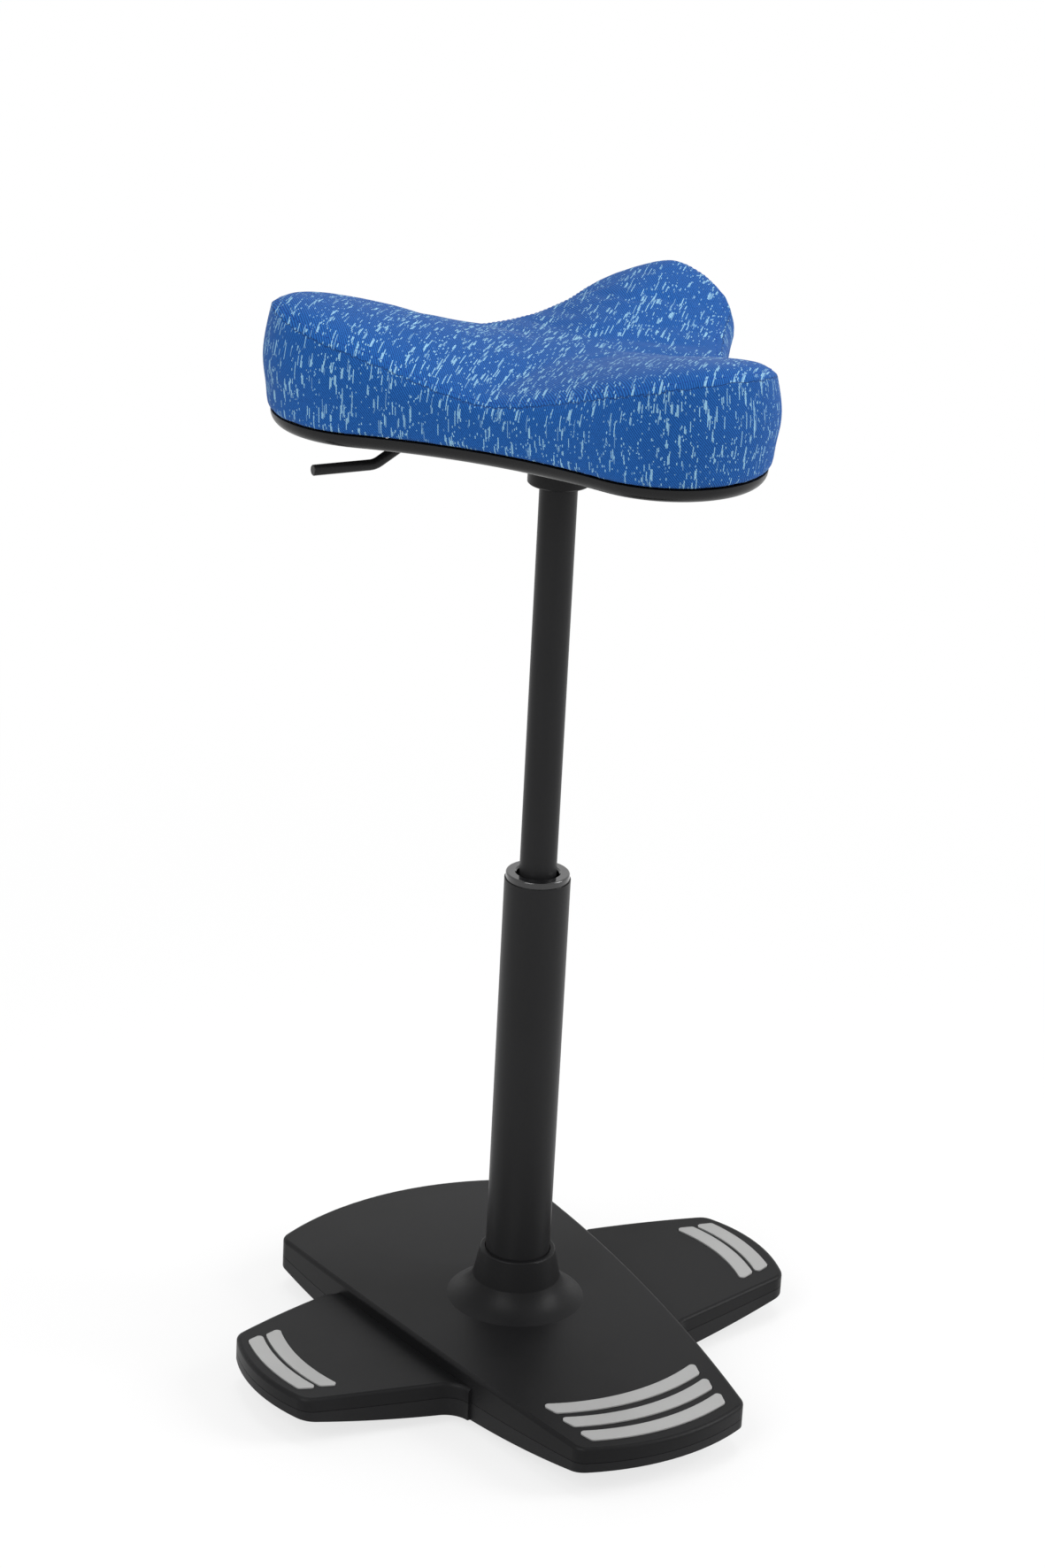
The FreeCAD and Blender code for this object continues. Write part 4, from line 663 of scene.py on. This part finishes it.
@dataclass
class SaddleCushion:
    """The stuffed cushion: blown up as cloth from the seat's solid, then seamed."""

    node: str = "seat_cushion"
    merge: float = 0.00002
    voxel: float = 0.0045
    relax: float = 0.5
    relax_steps: int = 4
    held_reach: float = 0.8
    held_height: float = 0.006
    pressure: float = 4.0
    frames: int = 20
    most_swell: float = 0.005
    crease_reach: float = 0.0032
    plump: float = 0.0019
    lobe_plump: float = 0.0016
    plump_reach: float = 0.016
    plump_end: float = 0.058
    grain_degrees: float = 45.0
    top_stretch: float = 0.7
    plan: SeatPlan = field(default_factory=SeatPlan)
    seam: list[Vector] = field(init=False)
    tree: KDTree = field(init=False)

    def __post_init__(self) -> None:
        """Lays out the seam's points and a search tree over them."""
        self.seam = self.plan.seam()
        self.tree = KDTree(len(self.seam))
        for number, point in enumerate(self.seam):
            self.tree.insert(point, number)
        self.tree.balance()

    def build(self, palette: Palette) -> bpy.types.Object:
        """Makes the cushion and puts it on the seat.

        Args:
            palette: the stool's finishes.

        Returns:
            The finished cushion.
        """
        cushion = self._copy_solid()
        self._remesh(cushion)
        self._inflate(cushion)
        self._plump(cushion)
        self._crease(cushion)
        apply_modifier(cushion, "fine", "SUBSURF", levels=1, render_levels=1)
        self._map_cloth(cushion)
        cushion.data.materials.clear()
        cushion.data.materials.append(palette.cloth)
        for face in cushion.data.polygons:
            face.use_smooth = True
        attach(cushion, "seat")
        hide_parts(self.node)
        SeamStitches().build(cushion, self.seam, palette)
        return cushion

    def _copy_solid(self) -> bpy.types.Object:
        """Returns a merged copy of the cushion's solid."""
        source = frame["nodes"][self.node]
        cushion = bpy.data.objects.new("saddle_cushion", source.data.copy())
        bpy.context.scene.collection.objects.link(cushion)
        select_only(cushion)
        bpy.ops.object.mode_set(mode="EDIT")
        bpy.ops.mesh.select_all(action="SELECT")
        bpy.ops.mesh.remove_doubles(threshold=self.merge)
        bpy.ops.mesh.normals_make_consistent(inside=False)
        bpy.ops.object.mode_set(mode="OBJECT")
        return cushion

    def _remesh(self, cushion: bpy.types.Object) -> None:
        """Turns the solid into even quads and evens out the steps.

        Args:
            cushion: the piece.
        """
        apply_modifier(cushion, "even", "REMESH", mode="VOXEL", voxel_size=self.voxel)
        apply_modifier(cushion, "relax", "SMOOTH", factor=self.relax,
                       iterations=self.relax_steps)

    def _inflate(self, cushion: bpy.types.Object) -> None:
        """Blows the cover up with the seam and the underside held.

        Args:
            cushion: the piece.
        """
        mesh = cushion.data
        before = [vertex.co.copy() for vertex in mesh.vertices]
        held = cushion.vertex_groups.new(name="held")
        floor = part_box(self.node)[0].z
        for vertex in mesh.vertices:
            near = self.tree.find(vertex.co)[2]
            on_seam = near < self.voxel * self.held_reach
            if on_seam or vertex.co.z < floor + self.held_height:
                held.add([vertex.index], 1.0, "REPLACE")
        cloth = cushion.modifiers.new("cover", "CLOTH")
        settings = cloth.settings
        settings.quality = 6
        settings.mass = 0.3
        settings.tension_stiffness = 25
        settings.compression_stiffness = 25
        settings.bending_stiffness = 2.0
        settings.use_pressure = True
        settings.uniform_pressure_force = self.pressure
        settings.vertex_group_mass = held.name
        settings.pin_stiffness = 1.0
        settings.effector_weights.gravity = 0.0
        cloth.collision_settings.use_collision = False
        scene = bpy.context.scene
        cloth.point_cache.frame_start = 1
        cloth.point_cache.frame_end = self.frames
        for number in range(1, self.frames + 1):
            scene.frame_set(number)
        bpy.ops.object.modifier_apply(modifier=cloth.name)
        scene.frame_set(1)
        for vertex, place in zip(mesh.vertices, before):
            move = vertex.co - place
            if move.length > self.most_swell:
                vertex.co = place + move.normalized() * self.most_swell
        cushion.vertex_groups.clear()

    def _plump(self, cushion: bpy.types.Object) -> None:
        """Pushes the top panel out away from the seam, most of all on the lobes.

        The band beside the seam stays. The underside is further in than it is down from the
        seam, so it is pushed out as well.

        Args:
            cushion: the piece.
        """
        mesh = cushion.data
        high = max(self.plan.lobe_heights)
        low = (self.plan.waist_height + high) / 2
        normals = [vertex.normal.copy() for vertex in mesh.vertices]
        for vertex, normal in zip(mesh.vertices, normals):
            point, _, near = self.tree.find(vertex.co)
            over_seam = vertex.co.z - point.z
            inside = point.to_2d().length - vertex.co.to_2d().length
            if over_seam + inside < 0.0:
                continue
            rise = smooth_step(near, 0.0, self.plump_reach)
            lobe = smooth_step(point.z, low, high)
            fall = 1.0 - smooth_step(near, self.plump_reach, self.plump_end)
            vertex.co += normal * rise * (self.plump + self.lobe_plump * lobe * fall)

    def _crease(self, cushion: bpy.types.Object) -> None:
        """Draws the points beside the seam onto it, so that the edge is crisp.

        Args:
            cushion: the piece.
        """
        count = len(self.seam)
        for vertex in cushion.data.vertices:
            place, number, near = self.tree.find(vertex.co)
            if near > self.crease_reach:
                continue
            best = place
            for other in (self.seam[number - 1], self.seam[(number + 1) % count]):
                run = other - place
                share = (vertex.co - place).dot(run) / run.length_squared
                spot = place + run * max(0.0, min(1.0, share))
                if (spot - vertex.co).length < (best - vertex.co).length:
                    best = spot
            pull = 1.0 - (near / self.crease_reach) ** 2
            vertex.co = vertex.co.lerp(best, pull)

    def _map_cloth(self, cushion: bpy.types.Object) -> None:
        """Lays the cloth: a map for the band, one for the top, and the seam's distance.

        Args:
            cushion: the piece.
        """
        mesh, points = cushion.data, self.seam
        runs = [0.0]
        for first, second in zip(points, points[1:] + points[:1]):
            runs.append(runs[-1] + (second - first).to_2d().length)
        length = runs[-1]
        distances = mesh.attributes.new("seam_distance", "FLOAT", "POINT")
        place_on_band = []
        turn = Matrix.Rotation(math.radians(90 - self.grain_degrees), 2)
        count = len(points)
        for vertex in mesh.vertices:
            point, number, near = self.tree.find(vertex.co)
            flat = vertex.co.to_2d()
            ahead = points[(number + 1) % count] - points[number - 1]
            way = ahead.to_2d().normalized()
            offset = flat - point.to_2d()
            inward = Vector((-way.y, way.x)).dot(offset)
            above = vertex.co.z - point.z
            side = 1.0 if inward + above > 0 else -1.0
            distances.data[vertex.index].value = near * side
            place_on_band.append((runs[number] + way.dot(offset), vertex.co.z))
        band = mesh.uv_layers.new(name=FabricSide.BAND.value)
        top = mesh.uv_layers.new(name=FabricSide.TOP.value)
        for face in mesh.polygons:
            base = place_on_band[mesh.loops[face.loop_start].vertex_index][0]
            for loop in face.loop_indices:
                number = mesh.loops[loop].vertex_index
                run, height = place_on_band[number]
                if run - base > length / 2:
                    run -= length
                elif base - run > length / 2:
                    run += length
                band.data[loop].uv = (run, height)
                flat = turn @ mesh.vertices[number].co.to_2d()
                top.data[loop].uv = (flat.x, flat.y * self.top_stretch)


@dataclass
class SeamStitches:
    """The row of thread that holds the top panel's edge down beside the seam."""

    setback: float = 0.0026
    pitch: float = 0.0046
    length: float = 0.0030
    thickness: float = 0.0006
    proud: float = 0.00012
    flatness: float = 0.8
    search_height: float = 0.008

    def build(self, cushion: bpy.types.Object, seam: list[Vector],
              palette: Palette) -> bpy.types.Object:
        """Sews the row round the cushion.

        Args:
            cushion: the finished cushion.
            seam: the seam's points, closed and anticlockwise.
            palette: the stool's finishes.

        Returns:
            The stitches as one piece.
        """
        places = self._places(cushion, seam)
        path = self._path(places)
        around = sum((first - last).length
                     for first, last in zip(places, places[1:] + places[:1]))
        stitches = self._one_stitch()
        apply_modifier(stitches, "row", "ARRAY", count=int(around / self.pitch),
                       use_relative_offset=False, use_constant_offset=True,
                       constant_offset_displace=(self.pitch, 0.0, 0.0))
        apply_modifier(stitches, "along", "CURVE", object=path, deform_axis="POS_X")
        bpy.data.objects.remove(path)
        for face in stitches.data.polygons:
            face.use_smooth = True
        stitches.data.materials.append(palette.thread)
        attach(stitches, "seat")
        return stitches

    def _places(self, cushion: bpy.types.Object, seam: list[Vector]) -> list[Vector]:
        """Finds the row's line on the top panel.

        Args:
            cushion: the finished cushion.
            seam: the seam's points.

        Returns:
            The points that the row passes.
        """
        places = []
        count = len(seam)
        for number, point in enumerate(seam):
            ahead = seam[(number + 1) % count] - seam[number - 1]
            inward = Vector((-ahead.y, ahead.x, 0.0)).normalized()
            start = point + inward * self.setback + Vector((0.0, 0.0, self.search_height))
            found, place, normal, _ = cushion.closest_point_on_mesh(start)
            if found:
                places.append(place + normal * self.proud)
        return places

    def _path(self, places: list[Vector]) -> bpy.types.Object:
        """Makes the line that the row is laid along.

        Args:
            places: its points.

        Returns:
            A curve.
        """
        data = bpy.data.curves.new("stitch_line", "CURVE")
        data.dimensions = "3D"
        spline = data.splines.new("POLY")
        spline.points.add(len(places) - 1)
        for spot, place in zip(spline.points, places):
            spot.co = (*place, 1.0)
        spline.use_cyclic_u = True
        path = bpy.data.objects.new("stitch_line", data)
        bpy.context.scene.collection.objects.link(path)
        return path

    def _one_stitch(self) -> bpy.types.Object:
        """Returns one stitch, a bead of thread drawn out along X."""
        deselect_all()
        radius = self.thickness / 2
        bpy.ops.mesh.primitive_uv_sphere_add(segments=8, ring_count=6, radius=radius)
        stitch = bpy.context.active_object
        stitch.name = "seam_stitches"
        bpy.ops.object.mode_set(mode="EDIT")
        bpy.ops.mesh.select_all(action="SELECT")
        bpy.ops.transform.resize(value=(self.length / self.thickness, 1.0, self.flatness))
        bpy.ops.transform.translate(value=(self.pitch / 2, 0.0, 0.0))
        bpy.ops.object.mode_set(mode="OBJECT")
        return stitch


@dataclass
class SubAssembly:
    """A group of rigid pieces that keep their CAD shape and get their finish here."""

    nodes: tuple[str, ...] = ()

    def build(self, palette: Palette) -> list[bpy.types.Object]:
        """Dresses each node with the finish of its slot.

        Args:
            palette: the stool's finishes.

        Returns:
            The dressed nodes.
        """
        slots = {part["node"]: part["material_slot"] for part in frame["record"]["subparts"]}
        dressed = []
        for name in self.nodes:
            node = frame["nodes"][name]
            palette.dress(node, slots[name])
            dressed.append(node)
        log.info("%s: %d nodes", type(self).__name__, len(dressed))
        return dressed


@dataclass
class FootBase(SubAssembly):
    """The rocking base: two moulded shells, their grip strips and what weighs them down."""

    nodes: tuple[str, ...] = (
        "base_cover", "base_under_shell", "front_grip_strips", "left_grip_strips",
        "right_grip_strips", "rubber_sole", "ballast_plate", "column_hub", "hub_bolts",
        "cover_screws")


@dataclass
class GasColumn(SubAssembly):
    """The column: an outer tube that guides a gas cylinder on its piston rod."""

    nodes: tuple[str, ...] = (
        "outer_column", "guide_ring", "guide_sleeve", "lower_race", "bearing_balls",
        "upper_race", "piston_rod", "piston", "rod_buffer", "rod_clip", "gas_cylinder",
        "cylinder_end_plug", "valve_body", "valve_pin")


@dataclass
class SeatMechanism(SubAssembly):
    """What carries the cushion, and the lever that lets the column move."""

    nodes: tuple[str, ...] = (
        "taper_socket", "socket_shroud", "mounting_plate", "lever_pivot_pin", "release_lever",
        "plate_bolts", "board_nuts", "seat_pan", "pan_screws", "seat_board")


@dataclass(frozen=True)
class SoftBox:
    """A rectangular lamp that faces the stool, with its place and size in metres."""

    name: str
    place: tuple[float, float, float]
    size: tuple[float, float]
    watts: float
    aim: tuple[float, float, float] = (0.0, 0.0, 0.45)

    def hang(self) -> None:
        """Adds the lamp to the scene."""
        data = bpy.data.lights.new(self.name, "AREA")
        data.shape = "RECTANGLE"
        data.size, data.size_y = self.size
        data.energy = self.watts
        lamp = bpy.data.objects.new(self.name, data)
        lamp.location = self.place
        way = Vector(self.aim) - Vector(self.place)
        lamp.rotation_euler = way.to_track_quat("-Z", "Y").to_euler()
        bpy.context.scene.collection.objects.link(lamp)


@dataclass
class Studio:
    """A pale floor, soft lights and the camera of the photograph."""

    focal_length: float = 87.26
    sensor: float = 36.0
    camera_place: tuple[float, float, float] = (-1.42995, -2.20521, 1.49325)
    camera_right: tuple[float, float, float] = (0.851112, -0.522739, 0.048496)
    camera_up: tuple[float, float, float] = (0.150852, 0.331999, 0.931139)
    camera_back: tuple[float, float, float] = (-0.502844, -0.785188, 0.361424)
    floor_size: float = 14.0
    floor_white: float = 0.86
    floor_cloud: float = 30.0
    floor_shade: float = 0.97
    shadow_reach: tuple[float, float] = (0.3, 1.5)
    shadow_glow: tuple[float, float] = (0.74, 1.0)
    sky_low: float = 0.3
    sky_high: float = 0.58
    sky_top: float = 0.9
    lamps: tuple[SoftBox, ...] = (
        SoftBox("window_left", (-2.6, -1.2, 2.4), (1.6, 2.4), 64.0),
        SoftBox("window_right", (2.4, -1.7, 1.9), (1.3, 2.2), 74.0),
        SoftBox("ceiling", (0.1, 0.2, 3.2), (1.2, 1.2), 26.0),
    )

    def build(self) -> None:
        """Makes the camera, the world, the floor and the lamps."""
        self._camera()
        self._world()
        self._floor()
        for lamp in self.lamps:
            lamp.hang()
        scene = bpy.context.scene
        scene.view_settings.view_transform = "Standard"

    def _camera(self) -> None:
        """Puts the camera where the photograph was taken from."""
        data = bpy.data.cameras.new("camera")
        data.lens = self.focal_length
        data.sensor_width = self.sensor
        data.clip_start, data.clip_end = 0.05, 50.0
        camera = bpy.data.objects.new("camera", data)
        axes = Matrix((self.camera_right, self.camera_up, self.camera_back)).transposed()
        camera.matrix_world = Matrix.Translation(self.camera_place) @ axes.to_4x4()
        bpy.context.scene.collection.objects.link(camera)
        bpy.context.scene.camera = camera

    def _world(self) -> None:
        """Lights the scene evenly and shows white behind it."""
        sheet = NodeSheet(bpy.data.worlds.new("studio"))
        way = sheet.add("ShaderNodeTexCoord").outputs["Generated"]
        height = sheet.add("ShaderNodeSeparateXYZ", {0: way}).outputs[2]
        strength = sheet.add("ShaderNodeMapRange", {
            0: height, 1: 0.0, 2: self.sky_top, 3: self.sky_low, 4: self.sky_high}).outputs[0]
        soft = sheet.add("ShaderNodeBackground", {"Color": rgba(WHITE), "Strength": strength})
        white = sheet.add("ShaderNodeBackground", {"Color": rgba(WHITE), "Strength": 1.0})
        mix = sheet.add("ShaderNodeMixShader", {
            0: sheet.sees_white(), 1: soft.outputs[0], 2: white.outputs[0]})
        bpy.context.scene.world = sheet.finish(mix)

    def _floor(self) -> None:
        """Lays the pale floor that keeps the stool's shadow."""
        deselect_all()
        bpy.ops.mesh.primitive_plane_add(size=self.floor_size, location=(0, 0, CAD_BOX[0][2]))
        floor = bpy.context.active_object
        floor.name = "floor"
        sheet = NodeSheet(bpy.data.materials.new("floor_paper"))
        fine = sheet.noise(sheet.place(), self.floor_cloud, 3.0)
        tone = sheet.mix(sheet.ramp(fine, 0.3, 0.7, 0.0, 0.02), rgba((self.floor_white,) * 3),
                         rgba((self.floor_white * self.floor_shade,) * 3))
        matt = sheet.add("ShaderNodeBsdfDiffuse", {"Color": tone})
        glow = sheet.add("ShaderNodeEmission", {"Color": rgba(WHITE), "Strength": 1.0})
        distance = sheet.add("ShaderNodeVectorMath", {0: sheet.place()}, operation="LENGTH")
        fade = sheet.ramp(distance.outputs["Value"], *self.shadow_reach, *self.shadow_glow)
        share = sheet.math("MULTIPLY", sheet.sees_white(), fade)
        both = sheet.add("ShaderNodeMixShader", {
            0: share, 1: matt.outputs[0], 2: glow.outputs[0]})
        floor.data.materials.append(sheet.finish(both))


def main() -> None:
    """Builds the stool's looks and the studio round it."""
    logging.basicConfig(level=logging.INFO, format="%(message)s")
    palette = Palette()
    for assembly in (FootBase(), GasColumn(), SeatMechanism()):
        assembly.build(palette)
    cushion = SaddleCushion().build(palette)
    log.info("cushion with %d faces", len(cushion.data.polygons))
    Studio().build()


if __name__ == "__main__":
    main()
